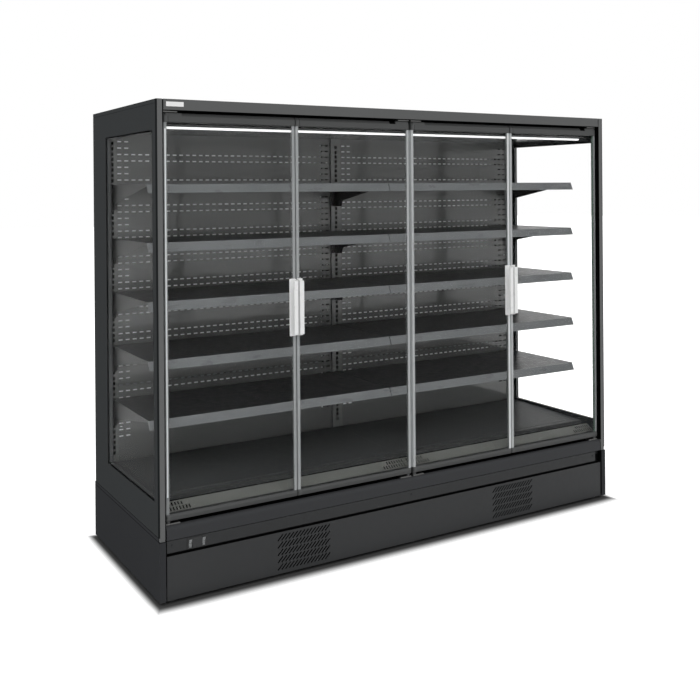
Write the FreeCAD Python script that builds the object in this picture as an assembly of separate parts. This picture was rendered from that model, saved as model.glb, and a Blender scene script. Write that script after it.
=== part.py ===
import FreeCAD, Part
import math
import os

# A glass-door multideck display fridge, two modules long, with two hinged doors on each module.
# X runs along the front to the viewer's right, Y from the front to the back, Z up.
# The origin is on the floor, under the middle of the whole object. Lengths are millimetres.
# A "depth" is measured back from the front plane of the kickplate and the fascia.

# ---------------------------------------------------------------- lengths along the front (X)
module_length = 1220.0        # one refrigerated module
end_wall = 30.0               # insulated end wall
cover_thickness = 26.0        # folded cover beside the machine compartment
module_gap = 1.0              # between the loose plates of the two modules
kick_end_gap = 2.0            # from the kickplate's end to the end wall's inner face
band_short = 41.0             # the control band stops short of the right end wall
profile_width = 21.0          # grey front profile of an end wall
profile_inset = 5.0           # from the end wall's inner face to that profile

# ---------------------------------------------------------------- depths (Y)
case_depth = 888.0            # end walls and rear wall
base_overhang = 12.0          # the machine compartment and its covers reach this far behind the case
cover_front = 5.0             # the covers stand this far in front of the kickplate
front_skin = 24.0             # returns of the kickplate, control band and bumper
tub_front = 50.0              # outer face of the insulated tub and roof
rear_wall_thickness = 60.0
duct_depth = 116.0            # from the front face of the slotted uprights to the rear wall
panel_setback = 10.0          # the rear panels stand behind the uprights' front by this
profile_depth = 14.0          # front profile of an end wall, and the depth of the doors' face

# ---------------------------------------------------------------- heights, stacked up from the floor (Z)
floor_clearance = 14.0        # under the covers and the kickplate
kick_height = 179.0
kick_gap = 13.0               # shadow gap between kickplate and control band
band_height = 48.5
band_groove = 2.5
bumper_height = 56.0
door_gap_bottom = 15.0
door_height = 1657.0
door_gap_top = 11.0
fascia_height = 44.0
roof_step = 4.0               # the roof's top lies below the fascia's
cover_height = 242.0
lip_height = 14.0             # trim strip on the cover
lip_gap = 3.0                 # shadow gap above that strip

# ---------------------------------------------------------------- sheet metal and base frame
sheet = 1.5
thin_sheet = 1.2
stiff_sheet = 2.0
angle_leg = 40.0              # steel angle of the base frame
angle_wall = 3.0
frame_end_gap = 13.0          # from the end wall's inner face to the base frame

# ---------------------------------------------------------------- tub and roof
tub_bottom = 232.0
tub_floor = 40.0
tub_wall = 38.0
tub_wall_height = 73.0        # above the tub's floor
roof_thickness = 42.0
panel_skin = 0.8              # steel faces of the foam-filled panels, whose cores are left hollow here

# ---------------------------------------------------------------- end walls and their windows
window_front = 49.0
window_back_post = 196.0      # wall behind the window
window_bottom = 402.0
window_top = 1921.0
window_pane = 6.0
window_inset = 1.0
spacer_width = 10.0
skin_edge = 4.0               # outer skin that wraps beside the front profile
trim_drop = 18.0              # trim line below the top of an end wall
trim_groove = 1.5
trim_notch_depth = 3.0        # dark slot at the front end of the trim
trim_notch_front = 4.0

# ---------------------------------------------------------------- doors
door_end_gap = 6.5            # hinge side, beside an end wall
door_mid_gap = 13.0           # between the two hinge sides in the middle
door_meet_gap = 5.0           # between the two handle sides of a module
door_meet_offset = 612.0      # that gap's distance from the middle of the object
door_thickness = 32.0
head_play = 2.0               # from a door's back to the head rail
glass_setback = 6.0           # the glass lies behind the rails' face
glass_pane = 5.0
glass_unit = 22.0             # both panes and the space between them
edge_profile = 25.0           # clear profile that closes a vertical edge of the unit
edge_wall = 1.5
bottom_rail = 27.0
top_rail = 38.0
rail_grip = 12.0              # how far a rail reaches over the glass
rail_play = 0.2
rail_soft = 5.0               # depth of the bevel on top of the bottom rail, and half that of the top rail's
rail_edge = 2.0               # small bevel along the foot of each rail
rail_lean = 4.0               # the bottom rail's face leans back this far below its ridge
rail_shoulder = 13.0          # height of the bevel on top of the top rail
rail_corner = 7.0             # rounding of a rail's corners on the hinge side, which pass close by as it swings
pivot_inset = 11.5            # hinge pin from the door's edge
pin_radius = 5.0
pin_fit = 0.08                # running fit of the pin in its bracket
pin_seat = 10.0               # pin length inside the rail
collar_radius = 9.0
collar_play = 0.1
bracket_plate = 5.0
bracket_short = 12.0          # bracket beyond the pin, towards the door's edge
bracket_long = 48.0           # and towards the door's middle
bracket_gap = 3.0             # from the door's top to the upper bracket
bracket_front = 18.0

# ---------------------------------------------------------------- handles
handle_length = 250.0
handle_bottom = 1030.0
handle_base = 28.0
handle_depth = 32.0
handle_wall = 3.0
handle_lip = 20.0
handle_inset = 2.0
handle_bevel = 9.0

# ---------------------------------------------------------------- canopy and lamp
canopy_return = 22.0          # fascia's rear lip, down the roof's front edge
canopy_underside = 46.0
head_shelf = 75.0             # depth of the head rail's lower flange
head_top_flange = 50.0
head_drop = 7.0               # the head rail's lower flange lies below the top rail's foot
lamp_offset = 50.0            # lamp behind the head rail's face
lamp_width = 20.0
lamp_back = 5.0               # metal back of the lamp
lamp_drop = 9.0               # its diffuser
lamp_end_gap = 45.0
ceiling_drop = 2.0            # the ceiling sheet lies below the head rail's lower flange
discharge_depth = 64.0
discharge_height = 20.0
discharge_slots = 36          # in each module
discharge_bar = 6.0
badge_width = 75.0
badge_height = 19.0
badge_thickness = 1.0
badge_from_end = 12.0
badge_below_top = 11.0

# ---------------------------------------------------------------- shelving
slot_pitch = 25.0
slot_width = 14.0
slot_height = 16.0
shelf_steps = 10              # slots from one shelf to the next
shelf_count = 5
first_shelf = 698.0           # top of the lowest shelf
upright_width = 60.0
shelf_front = 208.0
shelf_back_gap = 7.0          # from a shelf's back to the uprights
shelf_flange = 30.0
shelf_side_gap = 2.0
price_rail_height = 39.0
price_rail_lean = 15.0        # the rail's foot stands this far in front of its top
price_rail_wall = 2.0
bracket_inset = 7.0           # plate of a shelf bracket from the module's end
bracket_flange = 32.0         # outer edge of its flange from the module's end
bracket_height = 118.0
bracket_nose = 13.0           # height of its front end
bracket_taper = 30.0          # the lower edge starts to drop this far behind the shelf's front
bracket_knee = 58.0           # the lower edge turns down this far in front of the upright
bracket_knee_drop = 87.0
bracket_foot = 44.0
hook_inset = 3.0              # hooks from the module's end
hook_drop = 30.0              # upper hook below the shelf's top
hook_steps = 3                # slots between a bracket's two hooks
hook_reach = 4.0              # behind the upright's sheet
hook_play = 1.0

# ---------------------------------------------------------------- bottom deck and return-air grille
deck_front = 142.0
deck_back_gap = 12.0
deck_front_height = 391.0
deck_back_height = 404.0
deck_flange = 20.0
grille_front_height = 352.0
grille_back = 100.0
grille_back_height = 381.0
grille_seam = 550.0           # joint in the grille, from each module's left end
grille_slot = 7.0
grille_slot_pitch = 14.0
grille_low_count = 9          # slots in the lower row, from each end
grille_high_count = 7
grille_low_span = (0.12, 0.48)   # rows of slots, as fractions of the slope
grille_high_span = (0.56, 0.88)

# ---------------------------------------------------------------- kickplate vents and condensing units
unit_centres = {"left": -590.0, "right": 601.0}
vent_columns = 14
vent_rows = 5
vent_pitch = 18.0
vent_row_pitch = 31.5
vent_slot = 6.0
vent_run = 25.0               # sideways and upward run of one slanted slot
vent_bottom = 31.0
condenser_play = 3.0
condenser_half = 140.0
condenser_depth = 32.0
condenser_height = 169.0
condenser_fan_radius = 66.0

# ---------------------------------------------------------------- controller and its rockers
panel_from_end = 89.0
panel_width = 85.0
panel_height = 43.0
panel_bottom_gap = 1.0
panel_plate = 1.5
panel_body_depth = 21.0
panel_corner = 5.0
cutout_margin = 2.5
rocker_width = 14.0
rocker_side_play = 0.5
rocker_half = 17.0
rocker_waist = 6.0            # half thickness at the pivot
rocker_inset = 13.0
rocker_tilt = 8.0             # degrees to each side of level
rocker_pivot_depth = 7.0
rocker_pin = 1.2
rocker_pin_fit = 0.05
rocker_pin_reach = 1.8        # into the controller's wall
rocker_pin_end = 0.4

# ---------------------------------------------------------------- feet
foot_radius = 19.0
foot_flare = 4.0
foot_disc = 8.0
foot_stud = 5.0
foot_stud_top = 40.0
foot_nut = 9.0
foot_nut_height = 5.0
foot_depth = 40.0
foot_inset = 33.0

# ---------------------------------------------------------------- fans
fan_tip_play = 4.0
fan_hub = 15.0
fan_blades = 5
fan_arms = 3
fan_arm_width = 8.0
fan_arm_sheet = 3.0
blade_width = 22.0
blade_sheet = 2.0
blade_pitch = 32.0            # degrees
rotor_depth = 16.0
rotor_setback = 5.0
rotor_play = 2.0
motor_depth = 20.0
ring_wall = 2.0
ring_depth = 32.0
shaft_radius = 3.0
shaft_fit = 0.05
shaft_reach = 11.0            # shaft in front of its motor
shaft_end_play = 1.0

# ---------------------------------------------------------------- compressors, tray and electrics
compressor_centre = 300.0
compressor_radius = 78.0
compressor_height = 130.0
compressor_round = 34.0
compressor_plate_half = 125.0
compressor_mount = 9.0        # radius of a rubber mount
compressor_mount_height = 10.0
compressor_skirt = 70.0       # half width of the plate between body and mounts
tray_start = 30.0
tray_length = 140.0
tray_front = 300.0
tray_back = 600.0
tray_height = 55.0
box_length = 130.0
box_depth = 80.0
box_height = 110.0
box_bottom = 75.0
gland_radius = 11.0
gland_bore = 4.5
gland_length = 18.0
gland_height = 30.0           # above the box's bottom

# ---------------------------------------------------------------- evaporators
evaporator_depth = 260.0
evaporator_back_gap = 22.0    # from the evaporators to the uprights' front face
evaporator_height = 100.0
evaporator_inset = 60.0
evaporator_fins = 24
evaporator_fin = 2.0
evaporator_tube = 8.0
evaporator_tube_rows = 3
evaporator_tube_ranks = 2
evaporator_fan_radius = 46.0
fan_plate_gap = 50.0          # from the evaporators' fan plates to the evaporators
fan_plate_inset = 4.0
fan_centre_height = 60.0      # above the tub's floor

# ---------------------------------------------------------------- fasteners
screw_head = 4.0
screw_head_height = 1.5
screw_shank = 2.0
screw_fit = 0.1
screw_reach = 32.0
screw_inset = 20.0
screw_height = 30.0           # above the control band's lower edge

# ---------------------------------------------------------------- places that follow from the sizes above
half_case = module_length
base_depth = case_depth + base_overhang
half_end = half_case + end_wall
cover_inner = half_end - cover_thickness
kick_half = half_case - kick_end_gap
kick_top = floor_clearance + kick_height
band_bottom = kick_top + kick_gap
band_top = band_bottom + band_height
band_left = -kick_half
band_right = half_case - band_short
screw_line = band_bottom + screw_height
bumper_bottom = band_top + band_groove
bumper_top = bumper_bottom + bumper_height
door_bottom = bumper_top + door_gap_bottom
door_top = door_bottom + door_height
fascia_bottom = door_top + door_gap_top
overall_height = fascia_bottom + fascia_height
cover_top = floor_clearance + cover_height
lip_top = cover_top + lip_height
end_bottom = lip_top + lip_gap
door_front = profile_depth
door_back = door_front + door_thickness
pivot_depth = door_front + door_thickness / 2
glass_front = door_front + glass_setback
glass_back = glass_front + glass_unit
handle_front = glass_front - handle_depth
front_plane = -(base_depth + min(handle_front, -cover_front)) / 2
head_front = door_back + head_play
rear_wall_front = case_depth - rear_wall_thickness
upright_front = rear_wall_front - duct_depth
window_back = case_depth - window_back_post
shelf_back = upright_front - shelf_back_gap
deck_back = upright_front - deck_back_gap
evaporator_back = upright_front - evaporator_back_gap
evaporator_front = evaporator_back - evaporator_depth
fan_plate_depth = evaporator_front - fan_plate_gap
tub_floor_top = tub_bottom + tub_floor
tub_wall_top = tub_floor_top + tub_wall_height
roof_top = overall_height - roof_step
roof_bottom = roof_top - roof_thickness
lamp_seat = door_top - top_rail - head_drop
ceiling_height = lamp_seat - ceiling_drop
discharge_front = head_front + head_shelf
ceiling_front = discharge_front + discharge_depth
panel_front = upright_front + panel_setback
shelf_pitch = slot_pitch * shelf_steps
frame_half = half_case - frame_end_gap
frame_back = base_depth - front_skin
frame_floor = floor_clearance + angle_wall
panel_left = -half_case + panel_from_end
panel_right = panel_left + panel_width
panel_bottom = band_bottom + panel_bottom_gap
panel_top = panel_bottom + panel_height
rocker_height = (panel_bottom + panel_top) / 2
rocker_places = {"cooling": panel_left + rocker_inset, "lamp": panel_right - rocker_inset}
door_edges = {
    1: (-half_case + door_end_gap, -door_meet_offset - door_meet_gap / 2),
    2: (-door_meet_offset + door_meet_gap / 2, -door_mid_gap / 2),
    3: (door_mid_gap / 2, door_meet_offset - door_meet_gap / 2),
    4: (door_meet_offset + door_meet_gap / 2, half_case - door_end_gap),
}
hinge_on_left = {1: True, 2: False, 3: True, 4: False}
sides = {"left": -1, "right": 1}
over = 1.0                    # cutters reach past a face by this
nodes = {}


# ---------------------------------------------------------------- small helpers
def place(x, depth, z):
    """A point given by its depth from the front plane."""
    return FreeCAD.Vector(x, front_plane + depth, z)


def block(x0, x1, d0, d1, z0, z1):
    """A box between two corners, given in any order."""
    low = place(min(x0, x1), min(d0, d1), min(z0, z1))
    return Part.makeBox(abs(x1 - x0), abs(d1 - d0), abs(z1 - z0), low)


def along_x(outline, x0, x1):
    """A section of (depth, height) points, drawn out along the front."""
    points = [place(min(x0, x1), depth, z) for depth, z in outline]
    face = Part.Face(Part.makePolygon(points + points[:1]))
    return face.extrude(FreeCAD.Vector(abs(x1 - x0), 0, 0))


def rod_z(radius, x, depth, z0, z1):
    """An upright round bar."""
    return Part.makeCylinder(radius, z1 - z0, place(x, depth, z0))


def rod_y(radius, x, z, d0, d1):
    """A round bar that points to the back."""
    return Part.makeCylinder(radius, d1 - d0, place(x, d0, z), FreeCAD.Vector(0, 1, 0))


def rod_x(radius, x0, x1, depth, z):
    """A round bar along the front."""
    return Part.makeCylinder(radius, x1 - x0, place(x0, depth, z), FreeCAD.Vector(1, 0, 0))


def joined(shapes):
    """One solid from several that touch or overlap."""
    return shapes[0].multiFuse(shapes[1:]).removeSplitter()


def holed(shape, cutters):
    """A shape with every cutter taken out of it."""
    return shape.cut(Part.makeCompound(cutters)) if cutters else shape


def hollow_box(x0, x1, d0, d1, z0, z1):
    """A foam-filled panel: a closed box of thin sheet."""
    x0, x1 = sorted((x0, x1))
    t = panel_skin
    core = block(x0 + t, x1 - t, d0 + t, d1 - t, z0 + t, z1 - t)
    return block(x0, x1, d0, d1, z0, z1).cut(core)


def add(name, *solids):
    """Keep a node, as one solid or as a group of separate ones."""
    nodes[name] = solids[0] if len(solids) == 1 else Part.makeCompound(list(solids))


# ---------------------------------------------------------------- base
def angle_x(depth, z, inward, up):
    """A steel angle along the front or the back, from the corner where its legs meet."""
    flat = block(-frame_half, frame_half, depth, depth + inward * angle_leg, z, z + up * angle_wall)
    wall = block(-frame_half, frame_half, depth, depth + inward * angle_wall, z, z + up * angle_leg)
    return joined([flat, wall])


def angle_y(x, z, inward, up):
    """A steel angle from front to back, between the long ones."""
    d0 = front_skin + angle_leg
    d1 = frame_back - angle_leg
    flat = block(x, x + inward * angle_leg, d0, d1, z, z + up * angle_wall)
    wall = block(x, x + inward * angle_wall, d0, d1, z, z + up * angle_leg)
    return joined([flat, wall])


def angle_z(x, depth, inward, backward):
    """An upright steel angle, from the lower ring's front or back leg to the upper ring's."""
    z0 = floor_clearance + angle_leg
    z1 = tub_bottom - angle_leg
    flat = block(x, x + inward * angle_leg, depth, depth + backward * angle_wall, z0, z1)
    wall = block(x, x + inward * angle_wall, depth, depth + backward * angle_leg, z0, z1)
    return joined([flat, wall])


def foot_places():
    """Three feet along the front and three along the back."""
    outer = half_case - foot_inset
    rows = (foot_depth, base_depth - foot_depth)
    return [(x, depth) for depth in rows for x in (-outer, 0.0, outer)]


def base_frame():
    """Welded frame of steel angles that carries the tub, kept as its separate straight members."""
    columns = ((-frame_half, 1), (-angle_leg / 2, 1), (frame_half, -1))
    holes = [rod_z(foot_stud + screw_fit, x, depth, 0, frame_floor + over) for x, depth in foot_places()]
    members = []
    for depth, inward in ((front_skin, 1), (frame_back, -1)):
        members.append(holed(angle_x(depth, floor_clearance, inward, 1), holes))
        members.append(angle_x(depth, tub_bottom, inward, -1))
        members += [angle_z(x, depth, side, inward) for x, side in columns]
    for x, side in columns:
        members += [angle_y(x, floor_clearance, side, 1), angle_y(x, tub_bottom, side, -1)]
    add("base_frame", *members)


def levelling_feet():
    """Screw feet: a flared disc, a stud through the frame and a nut under it."""
    feet = []
    for x, depth in foot_places():
        disc = Part.makeCone(foot_radius, foot_radius - foot_flare, foot_disc, place(x, depth, 0))
        stud = rod_z(foot_stud, x, depth, foot_disc / 2, foot_stud_top)
        nut = rod_z(foot_nut, x, depth, floor_clearance - foot_nut_height, floor_clearance)
        feet.append(joined([disc, stud, nut]))
    add("levelling_feet", *feet)


def base_covers():
    """Folded side covers of the machine compartment, each with a trim strip on top."""
    for side, s in sides.items():
        outer = block(s * cover_inner, s * half_end, -cover_front, base_depth, floor_clearance, cover_top)
        inner = block(
            s * (cover_inner - sheet), s * (half_end - sheet),
            -cover_front + sheet, base_depth - sheet,
            floor_clearance + sheet, cover_top - sheet,
        )
        strip = block(s * cover_inner, s * half_end, profile_depth, base_depth, cover_top, lip_top)
        add("base_cover_" + side, outer.cut(inner), strip)


def vent_slots(centre):
    """Rows of slanted slots, as solids to cut out of the kickplate."""
    slots = []
    start = centre - ((vent_columns - 1) * vent_pitch + vent_run) / 2
    half = vent_slot / math.sqrt(8)
    for row in range(vent_rows):
        for column in range(vent_columns):
            x = start + column * vent_pitch
            z = vent_bottom + row * vent_row_pitch
            points = [
                place(x + half, -over, z - half),
                place(x + vent_run + half, -over, z + vent_run - half),
                place(x + vent_run - half, -over, z + vent_run + half),
                place(x - half, -over, z + half),
            ]
            face = Part.Face(Part.makePolygon(points + points[:1]))
            slots.append(face.extrude(FreeCAD.Vector(0, sheet + 2 * over, 0)))
    return slots


def kickplate():
    """Front plate of the machine compartment, with two fields of slanted vents."""
    outer = block(-kick_half, kick_half, 0, front_skin, floor_clearance, kick_top)
    inner = block(-kick_half, kick_half, sheet, front_skin, floor_clearance + sheet, kick_top - sheet)
    slots = []
    for centre in unit_centres.values():
        slots += vent_slots(centre)
    add("kickplate", holed(outer.cut(inner), slots))


# ---------------------------------------------------------------- control band, bumper and controller
def band_screw_places():
    """Three screws along the control band."""
    middle = (band_left + band_right) / 2
    return [band_left + screw_inset, middle, band_right - screw_inset]


def band_screw_holes():
    """Clearance holes for those screws, through band and sill."""
    return [rod_y(screw_shank + screw_fit, x, screw_line, -over, tub_front) for x in band_screw_places()]


def control_band():
    """Folded strip above the kickplate, with a cut-out for the controller."""
    outer = block(band_left, band_right, 0, front_skin, band_bottom, band_top)
    inner = block(band_left, band_right, sheet, front_skin, band_bottom + sheet, band_top - sheet)
    cutout = block(
        panel_left + cutout_margin, panel_right - cutout_margin, -over, sheet + over,
        panel_bottom + cutout_margin, panel_top - cutout_margin,
    )
    add("control_band", holed(outer.cut(inner), [cutout] + band_screw_holes()))


def bumper():
    """Rounded front strip under the doors."""
    bar = block(-kick_half, kick_half, 0, front_skin, bumper_bottom, bumper_top)
    radius = 0.75 * min(bumper_height, front_skin)
    front_edge = [
        edge for edge in bar.Edges
        if edge.BoundBox.XLength > kick_half
        and abs(edge.BoundBox.YMin - front_plane) < thin_sheet
        and abs(edge.BoundBox.ZMin - bumper_top) < thin_sheet
    ]
    bar = bar.makeFillet(radius, front_edge)
    inner = block(
        -kick_half, kick_half, 2 * stiff_sheet, front_skin,
        bumper_bottom + stiff_sheet, bumper_top - radius,
    )
    add("bumper", bar.cut(inner))


def controller():
    """Bezel and body of the controller, with two windows for its rockers."""
    plate = block(panel_left, panel_right, -panel_plate, 0, panel_bottom, panel_top)
    corners = [edge for edge in plate.Edges if edge.BoundBox.YLength > panel_plate / 2]
    plate = plate.makeFillet(panel_corner, corners)
    margin = cutout_margin + screw_fit
    z0 = panel_bottom + margin
    z1 = panel_top - margin
    shape = plate.fuse(block(panel_left + margin, panel_right - margin, 0, panel_body_depth, z0, z1))
    half = rocker_width / 2 + rocker_side_play
    cutters = []
    for x in rocker_places.values():
        cutters.append(block(x - half, x + half, -panel_plate - over, panel_body_depth - stiff_sheet, z0, z1))
        reach = half + rocker_pin_reach
        cutters.append(rod_x(rocker_pin + rocker_pin_fit, x - reach, x + reach, rocker_pivot_depth, rocker_height))
    for cutter in cutters:
        shape = shape.cut(cutter)
    add("controller", shape.removeSplitter())


def rockers():
    """Two rocker switches on pins; the upper end of each stands out at rest."""
    reach = rocker_width / 2 + rocker_side_play + rocker_pin_reach - rocker_pin_end
    rise = rocker_half * math.tan(math.radians(rocker_tilt))
    face = rocker_pivot_depth - rocker_waist
    heel = rocker_pivot_depth + rocker_waist
    outline = [
        (face - rise, rocker_height + rocker_half), (face, rocker_height),
        (face - rise, rocker_height - rocker_half),
        (heel, rocker_height - rocker_half), (heel, rocker_height + rocker_half),
    ]
    for name, x in rocker_places.items():
        cap = along_x(outline, x - rocker_width / 2, x + rocker_width / 2)
        pin = rod_x(rocker_pin, x - reach, x + reach, rocker_pivot_depth, rocker_height)
        rocker = joined([cap, pin])
        rocker.rotate(place(x, rocker_pivot_depth, rocker_height), FreeCAD.Vector(1, 0, 0), rocker_tilt)
        add("rocker_" + name, rocker)


# ---------------------------------------------------------------- insulated case
def tub():
    """Insulated tub: a floor and a low front wall, round one foam core."""
    t = panel_skin
    wall_back = tub_front + tub_wall
    outline = [
        (tub_front, tub_bottom), (rear_wall_front, tub_bottom), (rear_wall_front, tub_floor_top),
        (wall_back, tub_floor_top), (wall_back, tub_wall_top), (tub_front, tub_wall_top),
    ]
    core = [
        (tub_front + t, tub_bottom + t), (rear_wall_front - t, tub_bottom + t),
        (rear_wall_front - t, tub_floor_top - t), (wall_back - t, tub_floor_top - t),
        (wall_back - t, tub_wall_top - t), (tub_front + t, tub_wall_top - t),
    ]
    shell = along_x(outline, -half_case, half_case).cut(along_x(core, t - half_case, half_case - t))
    add("tub", shell)


def rear_wall():
    """Insulated rear wall."""
    add("rear_wall", hollow_box(-half_case, half_case, rear_wall_front, case_depth, tub_bottom, roof_bottom))


def roof():
    """Insulated roof, carried by the rear wall and the end walls."""
    add("roof", hollow_box(-half_case, half_case, tub_front, case_depth, roof_bottom, roof_top))


def end_walls():
    """Insulated end walls with a large window opening and a capping above a trim line."""
    line = overall_height - trim_drop
    t = panel_skin
    for side, s in sides.items():
        wall = block(s * half_case, s * half_end, profile_depth, case_depth, end_bottom, overall_height)
        foot = block(s * half_case, s * cover_inner, profile_depth, case_depth, tub_bottom, end_bottom)
        skin = block(s * (half_end - skin_edge), s * half_end, 0, profile_depth, end_bottom, overall_height)
        opening = block(
            s * (half_case - over), s * (half_end + over),
            window_front, window_back, window_bottom, window_top,
        )
        core = block(
            s * (half_case + t), s * (half_end - t), profile_depth + t, case_depth - t, end_bottom + t, line - t,
        )
        core = core.cut(block(
            s * half_case, s * half_end, window_front - t, window_back + t, window_bottom - t, window_top + t,
        ))
        groove = block(
            s * (half_end - trim_groove), s * (half_end + over),
            profile_depth, case_depth, line, line + trim_groove,
        )
        notch = block(
            s * (half_end - trim_groove), s * (half_end + over),
            trim_notch_front, trim_notch_front + trim_notch_depth, line, overall_height - trim_notch_depth,
        )
        add("end_panel_" + side, holed(joined([wall, foot, skin]), [opening, groove, notch, core]))


def end_windows():
    """Sealed glass units in the end walls: two panes, and the spacer between them."""
    panes = []
    spacers = []
    inner = half_case + window_inset
    outer = half_end - window_inset
    for s in sides.values():
        for x in (inner, outer - window_pane):
            panes.append(block(
                s * x, s * (x + window_pane), window_front, window_back, window_bottom, window_top,
            ))
        x0 = s * (inner + window_pane)
        x1 = s * (outer - window_pane)
        ring = block(x0, x1, window_front, window_back, window_bottom, window_top)
        hole = block(
            x0, x1, window_front + spacer_width, window_back - spacer_width,
            window_bottom + spacer_width, window_top - spacer_width,
        )
        spacers.append(ring.cut(hole))
    add("end_windows", *panes)
    add("window_spacers", *spacers)


def end_front_profiles():
    """Upright grey profiles on the front edges of the end walls."""
    x0 = half_case + profile_inset
    x1 = x0 + profile_width
    bars = [block(s * x0, s * x1, 0, profile_depth, cover_top, overall_height) for s in sides.values()]
    add("end_front_profiles", *bars)


# ---------------------------------------------------------------- canopy
def canopy_fascia():
    """Folded fascia over the doors."""
    half = half_case - kick_end_gap / 2
    lip_bottom = overall_height - canopy_return
    outline = [
        (0, fascia_bottom), (canopy_underside, fascia_bottom), (canopy_underside, fascia_bottom + sheet),
        (sheet, fascia_bottom + sheet), (sheet, overall_height - sheet),
        (tub_front - sheet, overall_height - sheet), (tub_front - sheet, lip_bottom),
        (tub_front, lip_bottom), (tub_front, overall_height), (0, overall_height),
    ]
    add("canopy_fascia", along_x(outline, -half, half))


def blank_badge():
    """Bare plate at the left end of the fascia."""
    x0 = -half_case + badge_from_end
    z1 = overall_height - badge_below_top
    add("blank_badge", block(x0, x0 + badge_width, -badge_thickness, 0, z1 - badge_height, z1))


def door_head():
    """Folded head rail that the doors close against, and that carries the lamp."""
    lower = lamp_seat + stiff_sheet
    upper = roof_bottom - stiff_sheet
    outline = [
        (head_front, lamp_seat), (head_front + head_shelf, lamp_seat), (head_front + head_shelf, lower),
        (head_front + stiff_sheet, lower), (head_front + stiff_sheet, upper),
        (head_front + head_top_flange, upper), (head_front + head_top_flange, roof_bottom),
        (head_front, roof_bottom),
    ]
    add("door_head", along_x(outline, -half_case, half_case))


def lamp():
    """Light strip under the head rail: a metal back and a diffuser."""
    half = half_case - lamp_end_gap
    d0 = head_front + lamp_offset
    d1 = d0 + lamp_width
    z0 = lamp_seat - lamp_back
    bevel = lamp_width / 4
    add("lamp_profile", block(-half, half, d0, d1, z0, lamp_seat))
    outline = [
        (d0, z0), (d0, z0 - lamp_drop + bevel), (d0 + bevel, z0 - lamp_drop),
        (d1 - bevel, z0 - lamp_drop), (d1, z0 - lamp_drop + bevel), (d1, z0),
    ]
    add("lamp_diffuser", along_x(outline, -half, half))


def air_grille():
    """Slotted discharge grille for the cold-air curtain."""
    z1 = ceiling_height + discharge_height
    bars = block(-half_case, half_case, discharge_front, ceiling_front, ceiling_height, z1)
    step = (module_length - 2 * lamp_end_gap) / discharge_slots
    slots = []
    for s in sides.values():
        for i in range(discharge_slots):
            x = s * (lamp_end_gap + i * step)
            slots.append(block(
                x, x + s * (step - discharge_bar), discharge_front + discharge_bar,
                ceiling_front - discharge_bar, ceiling_height - over, z1 + over,
            ))
    add("air_grille", holed(bars, slots))


# ---------------------------------------------------------------- sill and hinges
def door_sill():
    """Folded sill under the doors, between the base frame and the tub."""
    outline = [
        (front_skin, tub_bottom), (front_skin + stiff_sheet, tub_bottom),
        (front_skin + stiff_sheet, bumper_top - stiff_sheet), (tub_front, bumper_top - stiff_sheet),
        (tub_front, tub_wall_top), (tub_front - stiff_sheet, tub_wall_top),
        (tub_front - stiff_sheet, bumper_top), (front_skin, bumper_top),
    ]
    add("door_sill", holed(along_x(outline, -half_case, half_case), band_screw_holes()))


def pivot_x(number):
    """Where a door's hinge pins stand."""
    left, right = door_edges[number]
    return left + pivot_inset if hinge_on_left[number] else right - pivot_inset


def hinge_brackets():
    """Upper and lower bracket of each door, with a bore for its pin."""
    plates = []
    upper = door_top + bracket_gap
    for number in door_edges:
        x = pivot_x(number)
        s = 1 if hinge_on_left[number] else -1
        x0 = x - s * bracket_short
        x1 = x + s * bracket_long
        bore = rod_z(pin_radius + pin_fit, x, pivot_depth, 0, overall_height)
        top = block(x0, x1, bracket_front, head_front, upper, upper + bracket_plate)
        low = block(x0, x1, bracket_front, tub_front - stiff_sheet, bumper_top, bumper_top + bracket_plate)
        plates += [top.cut(bore), low.cut(bore)]
    add("hinge_brackets", *plates)


# ---------------------------------------------------------------- doors
def hinge_corners(number):
    """What rounding takes off the two upright corners at the hinge side of a door's rails."""
    left, right = door_edges[number]
    edge, s = (left, 1) if hinge_on_left[number] else (right, -1)
    cutters = []
    for face, inward in ((door_front, 1), (door_back, -1)):
        core_x = edge + s * rail_corner
        core_depth = face + inward * rail_corner
        corner = block(
            edge - s * over, core_x, face - inward * over, core_depth, door_bottom - over, door_top + over,
        )
        cutters.append(corner.cut(rod_z(rail_corner, core_x, core_depth, door_bottom - over, door_top + over)))
    return cutters


def door_frame(number):
    """Rails of one door, and the pins and collar it turns on."""
    left, right = door_edges[number]
    x = pivot_x(number)
    corners = hinge_corners(number)
    z_low = door_bottom + bottom_rail
    z_high = door_top - top_rail
    face = door_front
    soft = rail_soft
    low_outline = [
        (face + rail_lean + rail_edge, door_bottom), (face + rail_lean, door_bottom + rail_edge),
        (face, z_low - 2 * soft), (face + soft, z_low), (door_back, z_low), (door_back, door_bottom),
    ]
    high_outline = [
        (face + rail_edge, z_high), (face, z_high + rail_edge), (face, door_top - rail_shoulder),
        (face + 2 * soft, door_top), (door_back, door_top), (door_back, z_high),
    ]
    groove_ends = (left + edge_wall, right - edge_wall)
    groove_faces = (glass_front - rail_play, glass_back + rail_play)
    low_groove = block(*groove_ends, *groove_faces, z_low - rail_grip, z_low + over)
    high_groove = block(*groove_ends, *groove_faces, z_high - over, z_high + rail_grip)
    low_seat = rod_z(pin_radius, x, pivot_depth, door_bottom, door_bottom + pin_seat)
    high_seat = rod_z(pin_radius, x, pivot_depth, door_top - pin_seat, door_top)
    low_rail = holed(along_x(low_outline, left, right), [low_groove, low_seat] + corners)
    high_rail = holed(along_x(high_outline, left, right), [high_groove, high_seat] + corners)
    low_pin = rod_z(pin_radius, x, pivot_depth, bumper_top + collar_play, door_bottom + pin_seat)
    collar = rod_z(collar_radius, x, pivot_depth, bumper_top + bracket_plate + collar_play, door_bottom)
    high_pin = rod_z(pin_radius, x, pivot_depth, door_top - pin_seat, door_top + bracket_gap + bracket_plate)
    add("door_%d_frame" % number, low_rail, high_rail, joined([low_pin, collar]), high_pin)


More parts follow.
